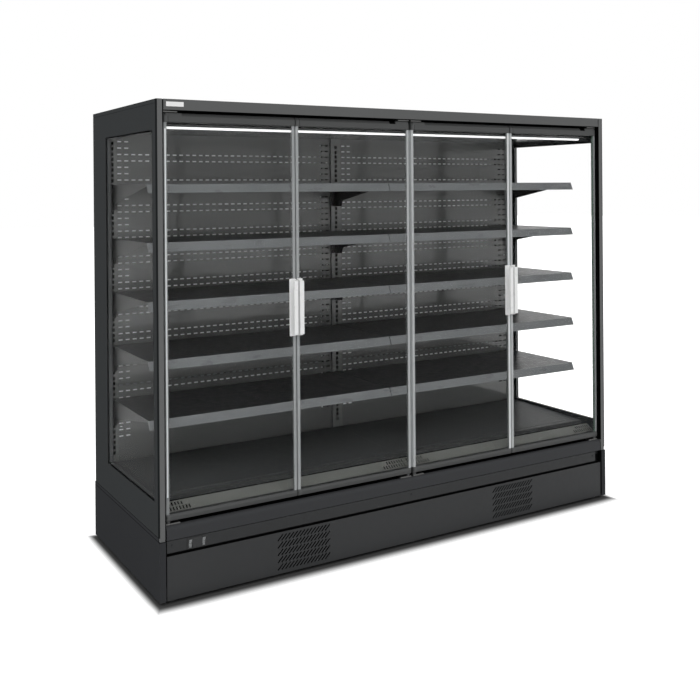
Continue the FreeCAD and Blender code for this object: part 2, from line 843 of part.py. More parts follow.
def door_glazing(number):
    """Sealed glass unit of one door: two panes and a clear profile in each upright edge."""
    left, right = door_edges[number]
    x0 = left + edge_wall + rail_play
    x1 = right - edge_wall - rail_play
    z0 = door_bottom + bottom_rail - rail_grip + rail_play
    z1 = door_top - top_rail + rail_grip - rail_play
    d0 = glass_front + glass_pane
    d1 = glass_back - glass_pane
    solids = [block(x0, x1, glass_front, d0, z0, z1), block(x0, x1, d1, glass_back, z0, z1)]
    for edge0, edge1 in ((x0, x0 + edge_profile), (x1 - edge_profile, x1)):
        tube = block(edge0, edge1, d0, d1, z0, z1)
        bore = block(edge0 + edge_wall, edge1 - edge_wall, d0 + edge_wall, d1 - edge_wall, z0, z1)
        solids.append(tube.cut(bore))
    add("door_%d_glazing" % number, *solids)


def door_handle(number):
    """Grip profile beside the free edge of one door, with bevelled ends."""
    left, right = door_edges[number]
    s = -1 if hinge_on_left[number] else 1
    edge = (right if hinge_on_left[number] else left) + s * handle_inset
    z0 = handle_bottom
    z1 = handle_bottom + handle_length
    root = glass_front - handle_wall
    base = block(edge, edge + s * handle_base, root, glass_front, z0, z1)
    web = block(edge, edge + s * handle_wall, handle_front, glass_front, z0, z1)
    lip = block(edge, edge + s * handle_lip, handle_front, handle_front + handle_wall, z0, z1)
    wedges = []
    for end, up in ((z0, 1), (z1, -1)):
        outline = [(handle_front - over, end), (root, end), (handle_front - over, end + up * handle_bevel)]
        wedges.append(along_x(outline, edge - s * over, edge + s * (handle_base + over)))
    add("door_%d_handle" % number, holed(joined([base, web, lip]), wedges))


# ---------------------------------------------------------------- shelving
def slot_heights():
    """Heights of the uprights' slots, in step with the brackets' hooks."""
    datum = first_shelf - hook_drop
    first = math.ceil((deck_back_height + slot_pitch - datum) / slot_pitch)
    last = math.floor((ceiling_height - slot_pitch - datum) / slot_pitch)
    return [datum + i * slot_pitch for i in range(first, last + 1)]


def upright(x0, x1, slot_x):
    """One slotted upright: a channel that stands on the tub and leans on the rear wall."""
    outer = block(x0, x1, upright_front, rear_wall_front, tub_floor_top, ceiling_height)
    inner = block(
        x0 + stiff_sheet, x1 - stiff_sheet, upright_front + stiff_sheet, rear_wall_front,
        tub_floor_top, ceiling_height,
    )
    slots = [
        block(
            slot_x - slot_width / 2, slot_x + slot_width / 2,
            upright_front - over, upright_front + stiff_sheet + over,
            z - slot_height / 2, z + slot_height / 2,
        )
        for z in slot_heights()
    ]
    return holed(outer.cut(inner), slots)


def uprights():
    """A full upright between the modules and a half-width one at each end."""
    half = upright_width / 2
    end_slots = half_case - stiff_sheet - slot_width / 2
    add(
        "uprights",
        upright(-half_case, half - half_case, -end_slots),
        upright(-half, half, 0.0),
        upright(half_case - half, half_case, end_slots),
    )


def duct_panels():
    """Sheet panels in front of the rear air duct, and the ceiling under the top duct."""
    half = upright_width / 2
    back = panel_front + thin_sheet
    solids = [block(
        s * half, s * (half_case - half), panel_front, back, deck_back_height - deck_flange, ceiling_height,
    ) for s in sides.values()]
    solids.append(block(
        -half_case, half_case, ceiling_front, back, ceiling_height, ceiling_height + thin_sheet,
    ))
    add("duct_panels", *solids)


def module_span(s, gap):
    """Both ends of a plate that lies within one module."""
    return s * gap, s * (module_length - gap)


def shelf_plate(s, top):
    """One shelf: a plate with a flange turned down at the front and at the back."""
    under = top - thin_sheet
    outline = [
        (shelf_front, top), (shelf_back, top), (shelf_back, top - shelf_flange / 2),
        (shelf_back - thin_sheet, top - shelf_flange / 2), (shelf_back - thin_sheet, under),
        (shelf_front + thin_sheet, under), (shelf_front + thin_sheet, top - shelf_flange),
        (shelf_front, top - shelf_flange),
    ]
    return along_x(outline, *module_span(s, shelf_side_gap))


def price_rail(s, top):
    """Leaning label rail on the front of a shelf."""
    wall = price_rail_wall
    toe = shelf_front - wall - price_rail_lean
    outline = [
        (shelf_front - wall, top), (shelf_front, top), (shelf_front, top - 4 * wall),
        (toe + wall, top - price_rail_height), (toe, top - price_rail_height),
    ]
    return along_x(outline, *module_span(s, shelf_side_gap))


def shelf_bracket(x_end, toward, top):
    """Side bracket of a shelf: a tapering plate, a flange on the upright and two hooks in its slots."""
    under = top - thin_sheet
    foot = top - bracket_height
    front = shelf_front + thin_sheet
    notch_front = shelf_back - thin_sheet - hook_play
    notch_bottom = top - shelf_flange / 2 - hook_play
    outline = [
        (front, under), (notch_front, under), (notch_front, notch_bottom), (upright_front, notch_bottom),
        (upright_front, foot), (upright_front - bracket_foot, foot),
        (upright_front - (bracket_foot + bracket_knee) / 2, (foot + top - bracket_knee_drop) / 2 + stiff_sheet),
        (upright_front - bracket_knee, top - bracket_knee_drop),
        (front + bracket_taper, top - bracket_nose), (front, top - bracket_nose),
    ]
    plate_x = x_end + toward * bracket_inset
    hook_x = x_end + toward * hook_inset
    face = upright_front - stiff_sheet
    parts = [
        along_x(outline, plate_x, plate_x + toward * stiff_sheet),
        block(hook_x, x_end + toward * bracket_flange, face, upright_front, under, foot),
    ]
    back = upright_front + stiff_sheet + hook_play
    for i in (0, hook_steps):
        z = top - hook_drop - i * slot_pitch
        rise = slot_height / 2 - hook_play
        parts.append(block(hook_x, hook_x + toward * stiff_sheet, face, back + hook_reach, z - rise / 2, z + rise))
        parts.append(block(hook_x, hook_x + toward * stiff_sheet, back, back + hook_reach, z - 2 * rise, z))
    return joined(parts)


def shelving():
    """Shelves on every level of both modules, with their brackets and label rails."""
    rails = []
    brackets = []
    for level in range(shelf_count):
        top = first_shelf + level * shelf_pitch
        add("shelf_%d" % (level + 1), *[shelf_plate(s, top) for s in sides.values()])
        for s in sides.values():
            rails.append(price_rail(s, top))
            brackets.append(shelf_bracket(0.0, s, top))
            brackets.append(shelf_bracket(s * module_length, -s, top))
    add("price_rails", *rails)
    add("shelf_brackets", *brackets)


def decks():
    """Bottom decks over the evaporators, each standing on two side skirts."""
    front = deck_front
    top = deck_front_height
    plate = [
        (front, top), (deck_back, deck_back_height), (deck_back, deck_back_height - sheet),
        (front + sheet, top - sheet), (front + sheet, top - deck_flange), (front, top - deck_flange),
    ]
    skirt = [(front, tub_floor_top), (front, top), (deck_back, deck_back_height), (deck_back, tub_floor_top)]
    solids = []
    for s in sides.values():
        x0, x1 = module_span(s, module_gap / 2)
        skirts = [along_x(skirt, x0, x0 + s * sheet), along_x(skirt, x1, x1 - s * sheet)]
        solids.append(joined([along_x(plate, x0, x1)] + skirts))
    add("decks", *solids)


def grille_slots(x_end, toward, count, span):
    """Slots across the sloping grille, counted from one end of a module."""
    run = grille_back - tub_front
    rise = grille_back_height - grille_front_height
    across = (-rise * sheet * 4 / run, sheet * 4)
    points = []
    for share, side in ((span[0], -1), (span[1], -1), (span[1], 1), (span[0], 1)):
        points.append((
            tub_front + run * share + side * across[0],
            grille_front_height + rise * share + side * across[1],
        ))
    half = toward * grille_slot / 2
    places = [x_end + toward * grille_slot_pitch * (i + 1) for i in range(count)]
    return [along_x(points, x - half, x + half) for x in places]


def return_grille():
    """Sloping strips behind the doors, slotted at each module's ends for the returning air."""
    outline = [
        (tub_front, tub_wall_top), (tub_front, grille_front_height), (grille_back, grille_back_height),
        (grille_back + sheet, grille_back_height - sheet), (tub_front + sheet, grille_front_height - sheet),
        (tub_front + sheet, tub_wall_top),
    ]
    solids = []
    for start in (-half_case, 0.0):
        end = start + module_length
        seam = start + grille_seam
        cutters = []
        for x, toward in ((start, 1), (end, -1)):
            cutters += grille_slots(x, toward, grille_low_count, grille_low_span)
            cutters += grille_slots(x, toward, grille_high_count, grille_high_span)
        for x0, x1 in ((start, seam), (seam, end)):
            strip = along_x(outline, x0 + module_gap / 2, x1 - module_gap / 2)
            solids.append(holed(strip, cutters))
    add("return_grille", *solids)


# ---------------------------------------------------------------- fans
def fan_ring(x, z, depth, radius):
    """The standing parts of a fan: its ring, and a motor with its shaft on three arms."""
    inner = radius + fan_tip_play
    motor_front = depth + rotor_setback + rotor_depth + rotor_play
    arm_front = motor_front + (motor_depth - fan_arm_sheet) / 4
    ring = rod_y(inner + ring_wall, x, z, depth, depth + ring_depth)
    parts = [ring.cut(rod_y(inner, x, z, depth - over, depth + ring_depth + over))]
    parts.append(rod_y(fan_hub, x, z, motor_front, motor_front + motor_depth))
    parts.append(rod_y(shaft_radius, x, z, motor_front - shaft_reach, motor_front + over))
    for i in range(fan_arms):
        arm = block(
            x, x + inner + ring_wall / 2, arm_front, arm_front + fan_arm_sheet,
            z - fan_arm_width / 2, z + fan_arm_width / 2,
        )
        arm.rotate(place(x, depth, z), FreeCAD.Vector(0, 1, 0), 90 + i * 360 / fan_arms)
        parts.append(arm)
    return parts


def fan_opening(x, z, depth, radius):
    """The hole that a fan's ring needs in its plate."""
    return rod_y(radius + fan_tip_play, x, z, depth - over, depth + stiff_sheet + over)


def rotor(x, z, depth, radius):
    """The turning part of a fan: a hub with pitched blades, bored for the shaft."""
    front = depth + rotor_setback
    back = front + rotor_depth
    middle = (front + back) / 2
    parts = [rod_y(fan_hub, x, z, front, back)]
    for i in range(fan_blades):
        blade = block(
            x, x + 2 * radius, middle - blade_sheet / 2, middle + blade_sheet / 2,
            z - blade_width / 2, z + blade_width / 2,
        )
        blade.rotate(place(x, middle, z), FreeCAD.Vector(1, 0, 0), blade_pitch)
        blade.rotate(place(x, middle, z), FreeCAD.Vector(0, 1, 0), i * 360 / fan_blades)
        parts.append(blade)
    shape = joined(parts).common(rod_y(radius, x, z, front, back))
    bore_front = back + rotor_play - shaft_reach - shaft_end_play
    return shape.cut(rod_y(shaft_radius + shaft_fit, x, z, bore_front, back + over))


# ---------------------------------------------------------------- machine compartment
def condensing_units():
    """Condenser coils behind the vents, each with a fan."""
    z0 = frame_floor
    z1 = z0 + condenser_height
    z = (z0 + z1) / 2
    d0 = front_skin + angle_wall + condenser_play
    d1 = d0 + condenser_depth
    solids = []
    for side, x in unit_centres.items():
        x0 = x - condenser_half
        x1 = x + condenser_half
        solids.append(block(x0, x1, d0, d1, z0, z1))
        plate = block(x0, x1, d1, d1 + stiff_sheet, z0, z1)
        plate = plate.cut(fan_opening(x, z, d1, condenser_fan_radius))
        solids.append(joined([plate] + fan_ring(x, z, d1, condenser_fan_radius)))
        add("condenser_fan_" + side, rotor(x, z, d1, condenser_fan_radius))
    add("condensers", *solids)


def compressors():
    """Hermetic compressors on plates that lie across the base frame."""
    z0 = frame_floor
    z1 = z0 + stiff_sheet
    z2 = z1 + compressor_mount_height
    middle = base_depth / 2
    reach = compressor_skirt - compressor_mount
    solids = []
    for s in sides.values():
        x = s * compressor_centre
        solids.append(block(
            s * angle_leg / 2, x + s * compressor_plate_half,
            front_skin + angle_leg / 2, frame_back - angle_leg / 2, z0, z1,
        ))
        body = rod_z(compressor_radius, x, middle, z2, z2 + compressor_height)
        rims = [edge for edge in body.Edges if edge.BoundBox.ZLength < over]
        body = body.makeFillet(compressor_round, rims)
        skirt = block(
            x - compressor_skirt, x + compressor_skirt, middle - compressor_skirt, middle + compressor_skirt,
            z2, z2 + 2 * stiff_sheet,
        )
        mounts = [
            rod_z(compressor_mount, x + sx * reach, middle + sy * reach, z1, z2 + stiff_sheet)
            for sx in (-1, 1) for sy in (-1, 1)
        ]
        solids.append(joined([body, skirt] + mounts))
    add("compressors", *solids)


def drain_tray():
    """Tray that the melt water runs into, beside the right compressor."""
    z0 = frame_floor + stiff_sheet
    x0 = tray_start
    x1 = tray_start + tray_length
    outer = block(x0, x1, tray_front, tray_back, z0, z0 + tray_height)
    inner = block(
        x0 + stiff_sheet, x1 - stiff_sheet, tray_front + stiff_sheet, tray_back - stiff_sheet,
        z0 + stiff_sheet, z0 + tray_height,
    )
    add("drain_tray", outer.cut(inner))


def electrical_box():
    """Terminal box on the middle rear post, with the gland for the supply lead."""
    x1 = -angle_leg / 2
    x0 = x1 - box_length
    back = frame_back - angle_wall
    front = back - box_depth
    outer = block(x0, x1, front, back, box_bottom, box_bottom + box_height)
    inner = block(
        x0 + stiff_sheet, x1 - stiff_sheet, front + stiff_sheet, back - stiff_sheet,
        box_bottom + stiff_sheet, box_bottom + box_height - stiff_sheet,
    )
    x = (x0 + x1) / 2
    z = box_bottom + gland_height
    tail = back - stiff_sheet - over
    bore = rod_y(gland_bore, x, z, tail - over, back + gland_length + over)
    gland = rod_y(gland_radius, x, z, back, back + gland_length)
    add("electrical_box", outer.cut(inner).cut(bore), gland.cut(bore))


def finned_coil(x0, x1, z0):
    """Upright fins on rows of tubes."""
    z1 = z0 + evaporator_height
    step = (x1 - x0 - evaporator_fin) / (evaporator_fins - 1)
    parts = []
    for i in range(evaporator_fins):
        x = x0 + i * step
        parts.append(block(x, x + evaporator_fin, evaporator_front, evaporator_back, z0, z1))
    for rank in range(evaporator_tube_ranks):
        for row in range(evaporator_tube_rows):
            z = z0 + (rank + 0.5) * evaporator_height / evaporator_tube_ranks
            run = evaporator_back - evaporator_front
            depth = evaporator_front + (row + 0.5) * run / evaporator_tube_rows
            parts.append(rod_x(evaporator_tube, x0, x1, depth, z))
    return joined(parts)


def evaporators():
    """Finned coils on the tub's floor, and the plates that carry their fans."""
    z0 = tub_floor_top
    z = z0 + fan_centre_height
    plate_top = deck_front_height - deck_flange / 2
    solids = []
    for side, s in sides.items():
        solids.append(finned_coil(*sorted(module_span(s, evaporator_inset)), z0))
        x = s * module_length / 2
        p0, p1 = module_span(s, fan_plate_inset)
        plate = block(p0, p1, fan_plate_depth, fan_plate_depth + stiff_sheet, z0, plate_top)
        plate = plate.cut(fan_opening(x, z, fan_plate_depth, evaporator_fan_radius))
        solids.append(joined([plate] + fan_ring(x, z, fan_plate_depth, evaporator_fan_radius)))
        add("evaporator_fan_" + side, rotor(x, z, fan_plate_depth, evaporator_fan_radius))
    add("evaporators", *solids)


# ---------------------------------------------------------------- fasteners
def screws():
    """Screws of the control band, through it into the sill."""
    solids = []
    for x in band_screw_places():
        head = rod_y(screw_head, x, screw_line, -screw_head_height, 0)
        shank = rod_y(screw_shank, x, screw_line, -screw_head_height / 2, screw_reach)
        solids.append(joined([head, shank]))
    add("screws", *solids)


def build():
    """Make every node and write it out."""
    for make in (
        base_frame, levelling_feet, base_covers, kickplate, control_band, bumper, controller, rockers,
        tub, rear_wall, roof, end_walls, end_windows, end_front_profiles,
        canopy_fascia, blank_badge, door_head, lamp, air_grille, door_sill, hinge_brackets,
        uprights, duct_panels, shelving, decks, return_grille,
        condensing_units, compressors, drain_tray, electrical_box, evaporators, screws,
    ):
        make()
    for number in door_edges:
        door_frame(number)
        door_glazing(number)
        door_handle(number)
    os.makedirs("parts", exist_ok=True)
    for name, shape in nodes.items():
        shape.exportStep("parts/" + name + ".step")
    print(len(nodes), "nodes")


build()
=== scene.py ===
"""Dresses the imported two-module glass-door display fridge: finishes, finer pieces, studio and camera."""

import logging
import math
from collections.abc import Callable, Sequence
from dataclasses import dataclass
from enum import Enum
from typing import Any

import bmesh
import bpy
from mathutils import Matrix, Vector


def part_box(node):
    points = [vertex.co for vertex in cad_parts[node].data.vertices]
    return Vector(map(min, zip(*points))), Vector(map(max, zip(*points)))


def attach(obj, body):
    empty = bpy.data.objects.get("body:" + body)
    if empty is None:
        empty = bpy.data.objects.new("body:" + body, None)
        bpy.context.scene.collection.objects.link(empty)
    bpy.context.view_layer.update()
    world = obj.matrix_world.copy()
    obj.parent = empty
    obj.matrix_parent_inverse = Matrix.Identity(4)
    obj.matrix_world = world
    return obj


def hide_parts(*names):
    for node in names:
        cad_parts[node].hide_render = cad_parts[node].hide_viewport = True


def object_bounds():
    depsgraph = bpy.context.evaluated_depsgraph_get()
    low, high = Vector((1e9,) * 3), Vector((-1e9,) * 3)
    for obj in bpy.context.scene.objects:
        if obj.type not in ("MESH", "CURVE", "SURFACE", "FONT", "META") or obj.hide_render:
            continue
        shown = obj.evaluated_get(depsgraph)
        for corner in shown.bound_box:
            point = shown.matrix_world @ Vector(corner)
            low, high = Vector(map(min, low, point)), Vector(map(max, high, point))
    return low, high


LOG = logging.getLogger("display_fridge")
MM = 0.001
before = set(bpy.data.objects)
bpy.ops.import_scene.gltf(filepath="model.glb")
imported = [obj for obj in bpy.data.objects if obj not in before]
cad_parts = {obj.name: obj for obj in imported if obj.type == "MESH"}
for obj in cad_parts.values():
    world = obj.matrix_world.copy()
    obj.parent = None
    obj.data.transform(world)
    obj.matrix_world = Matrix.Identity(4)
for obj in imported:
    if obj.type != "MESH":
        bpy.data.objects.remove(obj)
CAD_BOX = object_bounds()
FRONT_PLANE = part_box("kickplate")[0].y
BEVEL_ANGLE = math.radians(20.0)
SMOOTH_ANGLE = math.radians(35.0)
WELD = 0.001
PATTERN_SPAN = (0.3, 0.7)

Outline = Sequence[tuple[float, float]]
Colour = tuple[float, float, float, float]


class Axis(Enum):
    """One of the three axes, with its place in a vector."""

    X = 0
    DEPTH = 1
    Z = 2


class Module(Enum):
    """One of the two refrigerated modules, by the side of the middle that it lies on."""

    LEFT = -1
    RIGHT = 1


# ------------------------------------------------------------------ drawing in millimetres
@dataclass(frozen=True)
class Room:
    """The space that a node takes, in millimetres: x, depth behind the front plane, height."""

    x: tuple[float, float]
    depth: tuple[float, float]
    z: tuple[float, float]

    @classmethod
    def of(cls, node: str) -> "Room":
        """Read a node's space from the frame.

        Args:
            node: Name of the CAD node.

        Returns:
            Its space at rest.
        """
        low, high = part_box(node)
        return cls(
            (low.x / MM, high.x / MM),
            ((low.y - FRONT_PLANE) / MM, (high.y - FRONT_PLANE) / MM),
            (low.z / MM, high.z / MM),
        )


class Draft:
    """A mesh in the making, in millimetres: x to the right, depth behind the front plane, height."""

    def __init__(self) -> None:
        """Start with nothing drawn."""
        self.mesh = bmesh.new()

    def soften(self, verts: Sequence[bmesh.types.BMVert], width: float, segments: int = 2) -> None:
        """Bevel every edge among some vertices.

        Args:
            verts: The vertices of one closed form.
            width: Width of the bevel.
            segments: Its steps.
        """
        edges = list({edge for vert in verts for edge in vert.link_edges if len(edge.link_faces) == 2})
        sharp = [edge for edge in edges if edge.calc_face_angle(0.0) > BEVEL_ANGLE]
        bmesh.ops.bevel(
            self.mesh, geom=sharp, offset=width, offset_type="OFFSET", segments=segments,
            profile=0.5, affect="EDGES", material=-1, clamp_overlap=True,
        )

    def box(
        self, x: Sequence[float], depth: Sequence[float], z: Sequence[float], bevel: float = 0.0, segments: int = 2,
    ) -> None:
        """Add a box between two corners.

        Args:
            x: Its two ends along the front.
            depth: Its two depths.
            z: Its two heights.
            bevel: Width of its edges' bevel, or 0 for none.
            segments: Steps of the bevel.
        """
        made = bmesh.ops.create_cube(self.mesh, size=1.0)["verts"]
        size = Vector((abs(x[1] - x[0]), abs(depth[1] - depth[0]), abs(z[1] - z[0])))
        middle = Vector((sum(x) / 2, sum(depth) / 2, sum(z) / 2))
        bmesh.ops.scale(self.mesh, vec=size, verts=made)
        bmesh.ops.translate(self.mesh, vec=middle, verts=made)
        if bevel:
            self.soften(made, bevel, segments)

    def section(
        self, outline: Outline, span: Sequence[float], along: Axis = Axis.X, bevel: float = 0.0,
    ) -> None:
        """Push an outline along an axis.

        Args:
            outline: Points in the two other axes, in the order x, depth, height.
            span: Where the form starts and ends on the axis.
            along: The axis.
            bevel: Width of its edges' bevel, or 0 for none.
        """
        start = [self.mesh.verts.new(self.spot(point, min(span), along)) for point in outline]
        far = self.push([self.mesh.faces.new(start)], span, along)
        if bevel:
            self.soften(start + far, bevel)

    def push(
        self, faces: Sequence[bmesh.types.BMFace], span: Sequence[float], along: Axis,
    ) -> list[bmesh.types.BMVert]:
        """Extrude flat faces along an axis.

        Args:
            faces: The faces.
            span: Where the form starts and ends on the axis.
            along: The axis.

        Returns:
            The vertices at the far end.
        """
        pushed = bmesh.ops.extrude_face_region(self.mesh, geom=faces)["geom"]
        far = [item for item in pushed if isinstance(item, bmesh.types.BMVert)]
        way = Vector((0.0, 0.0, 0.0))
        way[along.value] = abs(span[1] - span[0])
        bmesh.ops.translate(self.mesh, vec=way, verts=far)
        return far

    @staticmethod
    def spot(point: tuple[float, float], level: float, along: Axis) -> Vector:
        """Turn a point of an outline into a place in space.

        Args:
            point: The point, in the two axes that the outline lies in.
            level: Its place on the third axis.
            along: The third axis.

        Returns:
            The place.
        """
        values = list(point)
        values.insert(along.value, level)
        return Vector(values)

    def tube(self, outline: Outline, wall: float, span: Sequence[float], along: Axis = Axis.Z) -> None:
        """Push a closed hollow section along an axis, open at its ends.

        Args:
            outline: Its outer outline.
            wall: Its wall thickness.
            span: Where it starts and ends on the axis.
            along: The axis.
        """
        start = [self.mesh.verts.new(self.spot(point, min(span), along)) for point in outline]
        face = self.mesh.faces.new(start)
        face.normal_update()
        rim = bmesh.ops.inset_region(
            self.mesh, faces=[face], thickness=wall, use_even_offset=True, use_boundary=True,
        )["faces"]
        bmesh.ops.delete(self.mesh, geom=[face], context="FACES_ONLY")
        self.push(rim, span, along)

    def bar(self, start: Sequence[float], end: Sequence[float], radius: float, sides: int) -> None:
        """Add a round bar between two places.

        Args:
            start: Middle of its first end.
            end: Middle of its other end.
            radius: Its radius.
            sides: Faces around it.
        """
        first, last = Vector(start), Vector(end)
        way = last - first
        turn = way.to_track_quat("Z", "Y").to_matrix().to_4x4()
        place = Matrix.Translation((first + last) / 2) @ turn
        bmesh.ops.create_cone(
            self.mesh, cap_ends=True, segments=sides, radius1=radius, radius2=radius, depth=way.length, matrix=place,
        )

    def turned(self, profile: Outline, centre: Sequence[float], along: Axis, steps: int) -> None:
        """Spin a profile that starts and ends on an axis round it.

        Args:
            profile: Points as distance from the axis and place along it.
            centre: Where the axis passes, with the place along it counted from here.
            along: The axis.
            steps: Faces around it.
        """
        side = Vector((1.0, 0.0, 0.0)) if along is not Axis.X else Vector((0.0, 1.0, 0.0))
        way = Vector((0.0, 0.0, 0.0))
        way[along.value] = 1.0
        middle = Vector(centre)
        verts = [self.mesh.verts.new(middle + side * out + way * up) for out, up in profile]
        chain = [self.mesh.edges.new(pair) for pair in zip(verts, verts[1:])]
        bmesh.ops.spin(
            self.mesh, geom=[*verts, *chain], cent=middle, axis=way, angle=math.tau, steps=steps, use_merge=True,
        )
        bmesh.ops.remove_doubles(self.mesh, verts=self.mesh.verts[:], dist=WELD)

    def pierced(
        self, columns: Sequence[float], rows: Sequence[float], depth: float, thickness: float,
        is_open: Callable[[int, int], bool],
    ) -> None:
        """Add an upright sheet, ruled into cells, with some of the cells cut out.

        Args:
            columns: The ruled lines along the front, from left to right.
            rows: The ruled heights, from low to high.
            depth: Depth of its front face.
            thickness: Its thickness.
            is_open: Says whether the cell in a column and a row is cut out.
        """
        across, up = len(columns) - 1, len(rows) - 1
        made = bmesh.ops.create_grid(self.mesh, x_segments=across, y_segments=up, size=1.0)["verts"]
        faces = list({face for vert in made for face in vert.link_faces})
        kept, cut = [], []
        for face in faces:
            middle = face.calc_center_median()
            column = int((middle.x + 1.0) / 2.0 * across)
            row = int((middle.y + 1.0) / 2.0 * up)
            (cut if is_open(column, row) else kept).append(face)
        for vert in made:
            column = round((vert.co.x + 1.0) / 2.0 * across)
            row = round((vert.co.y + 1.0) / 2.0 * up)
            vert.co = Vector((columns[column], depth, rows[row]))
        bmesh.ops.delete(self.mesh, geom=cut, context="FACES")
        for face in kept:
            face.normal_update()
        if kept and kept[0].normal.y > 0:
            bmesh.ops.reverse_faces(self.mesh, faces=kept)
        bmesh.ops.solidify(self.mesh, geom=kept, thickness=thickness)

    def piece(
        self, name: str, finish: "Finish", body: str = "cabinet", slot: str | None = None,
        replaces: Sequence[str] = (),
    ) -> None:
        """Make the finished object and hand it to the frame.

        Args:
            name: Name of the piece.
            finish: Its surface finish.
            body: The body that it moves with.
            slot: The record's material slot; not used.
            replaces: CAD nodes that it stands for.
        """
        bmesh.ops.recalc_face_normals(self.mesh, faces=self.mesh.faces[:])
        to_frame = Matrix.Translation((0.0, FRONT_PLANE, 0.0)) @ Matrix.Scale(MM, 4)
        bmesh.ops.transform(self.mesh, matrix=to_frame, verts=self.mesh.verts[:])
        data = bpy.data.meshes.new(name)
        self.mesh.to_mesh(data)
        self.mesh.free()
        data.shade_smooth()
        data.set_sharp_from_angle(angle=SMOOTH_ANGLE)
        data.materials.append(finish.material())
        made = bpy.data.objects.new(name, data)
        bpy.context.scene.collection.objects.link(made)
        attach(made, body)
        if replaces:
            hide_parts(*replaces)
        LOG.info("made %s: %d faces, rides on %s", name, len(data.polygons), body)


# ------------------------------------------------------------------ finishes
def tint(code: str, gain: float = 1.0) -> Colour:
    """Turn a written colour into the linear one that shaders take, by the usual screen curve.

    Args:
        code: The colour as #rrggbb.
        gain: Factor on its linear values.

    Returns:
        Red, green, blue and alpha.
    """
    linear = []
    for start in (1, 3, 5):
        value = int(code[start:start + 2], 16) / 255.0
        value = value / 12.92 if value <= 0.04045 else ((value + 0.055) / 1.055) ** 2.4
        linear.append(min(1.0, value * gain))
    return (linear[0], linear[1], linear[2], 1.0)


class Wiring:
    """The node tree of one material, with short calls for the nodes that the finishes share."""

    def __init__(self, name: str) -> None:
        """Start an empty material.

        Args:
            name: Name of the material.
        """
        self.material = bpy.data.materials.new(name)
        self.material.use_nodes = True
        self.tree = self.material.node_tree
        self.tree.nodes.clear()
        self.output = self.tree.nodes.new("ShaderNodeOutputMaterial")

    def node(self, kind: str, inputs: dict[Any, Any] | None = None, **settings: Any) -> bpy.types.Node:
        """Add a node.

        Args:
            kind: Its type.
            inputs: Values or sockets for its inputs, by name or number.
            **settings: Its own properties.

        Returns:
            The node.
        """
        made = self.tree.nodes.new(kind)
        for key, value in settings.items():
            setattr(made, key, value)
        for key, value in (inputs or {}).items():
            if isinstance(value, bpy.types.NodeSocket):
                self.tree.links.new(value, made.inputs[key])
            else:
                made.inputs[key].default_value = value
        return made

    def spots(self, stretch: tuple[float, float, float] = (1.0, 1.0, 1.0)) -> bpy.types.NodeSocket:
        """Give the piece's own coordinates, stretched along its axes."""
        place = self.node("ShaderNodeTexCoord").outputs["Object"]
        return self.node("ShaderNodeMapping", {"Vector": place, "Scale": stretch}).outputs["Vector"]

    def noise(
        self, scale: float, detail: float = 2.0, stretch: tuple[float, float, float] = (1.0, 1.0, 1.0),
    ) -> bpy.types.NodeSocket:
        """Give a soft random pattern between 0 and 1.

        Args:
            scale: Its spots per metre.
            detail: Its finer layers.
            stretch: Factors on the three axes.

        Returns:
            The pattern's socket.
        """
        inputs = {"Vector": self.spots(stretch), "Scale": scale, "Detail": detail}
        return self.node("ShaderNodeTexNoise", inputs).outputs["Fac"]

    def between(
        self, value: bpy.types.NodeSocket, low: float, high: float, span: tuple[float, float],
    ) -> bpy.types.NodeSocket:
        """Stretch a span of a pattern to a range.

        Args:
            value: The pattern.
            low: Result where the pattern is dark.
            high: Result where it is light.
            span: The pattern's values that give them.

        Returns:
            The stretched value.
        """
        inputs = {"Value": value, "From Min": span[0], "From Max": span[1], "To Min": low, "To Max": high}
        return self.node("ShaderNodeMapRange", inputs).outputs["Result"]

    def shades(self, share: bpy.types.NodeSocket, dark: Any, light: Any) -> bpy.types.NodeSocket:
        """Mix two colours, or colour sockets, by a pattern."""
        return self.node("ShaderNodeMix", {0: share, 6: dark, 7: light}, data_type="RGBA").outputs[2]

    def stripe(self, along: Axis, low: float, high: float) -> bpy.types.NodeSocket:
        """Give 1 between two places on an axis, in metres, and 0 elsewhere.

        Args:
            along: The axis.
            low: Where the stripe starts.
            high: Where it ends.

        Returns:
            The mask's socket.
        """
        place = self.node("ShaderNodeTexCoord").outputs["Object"]
        level = self.node("ShaderNodeSeparateXYZ", {0: place}).outputs[along.value]
        over = self.node("ShaderNodeMath", {0: level, 1: low}, operation="GREATER_THAN").outputs[0]
        under = self.node("ShaderNodeMath", {0: level, 1: high}, operation="LESS_THAN").outputs[0]
        return self.node("ShaderNodeMath", {0: over, 1: under}, operation="MULTIPLY").outputs[0]

    def bump(self, height: bpy.types.NodeSocket, strength: float, distance: float) -> bpy.types.NodeSocket:
        """Turn a height pattern into a bent normal, with its relief in metres."""
        return self.node(
            "ShaderNodeBump", {"Height": height, "Strength": strength, "Distance": distance},
        ).outputs["Normal"]

    def surface(self, inputs: dict[str, Any]) -> bpy.types.Node:
        """Add the main shader and lead it to the output.

        Args:
            inputs: Values or sockets for its inputs, by name.

        Returns:
            The shader's node.
        """
        shader = self.node("ShaderNodeBsdfPrincipled", inputs)
        self.tree.links.new(shader.outputs["BSDF"], self.output.inputs["Surface"])
        return shader


@dataclass(frozen=True)
class Finish:
    """A surface finish, which makes its material on first use."""

    name: str
    colour: str

    def material(self) -> bpy.types.Material:
        """Give the finish's material.

        Returns:
            The material, made now or before.
        """
        found = bpy.data.materials.get(self.name)
        if found is None:
            wiring = Wiring(self.name)
            self.lay(wiring)
            found = wiring.material
        return found

    def lay(self, wiring: Wiring) -> None:
        """Lay the finish's nodes."""
        raise NotImplementedError


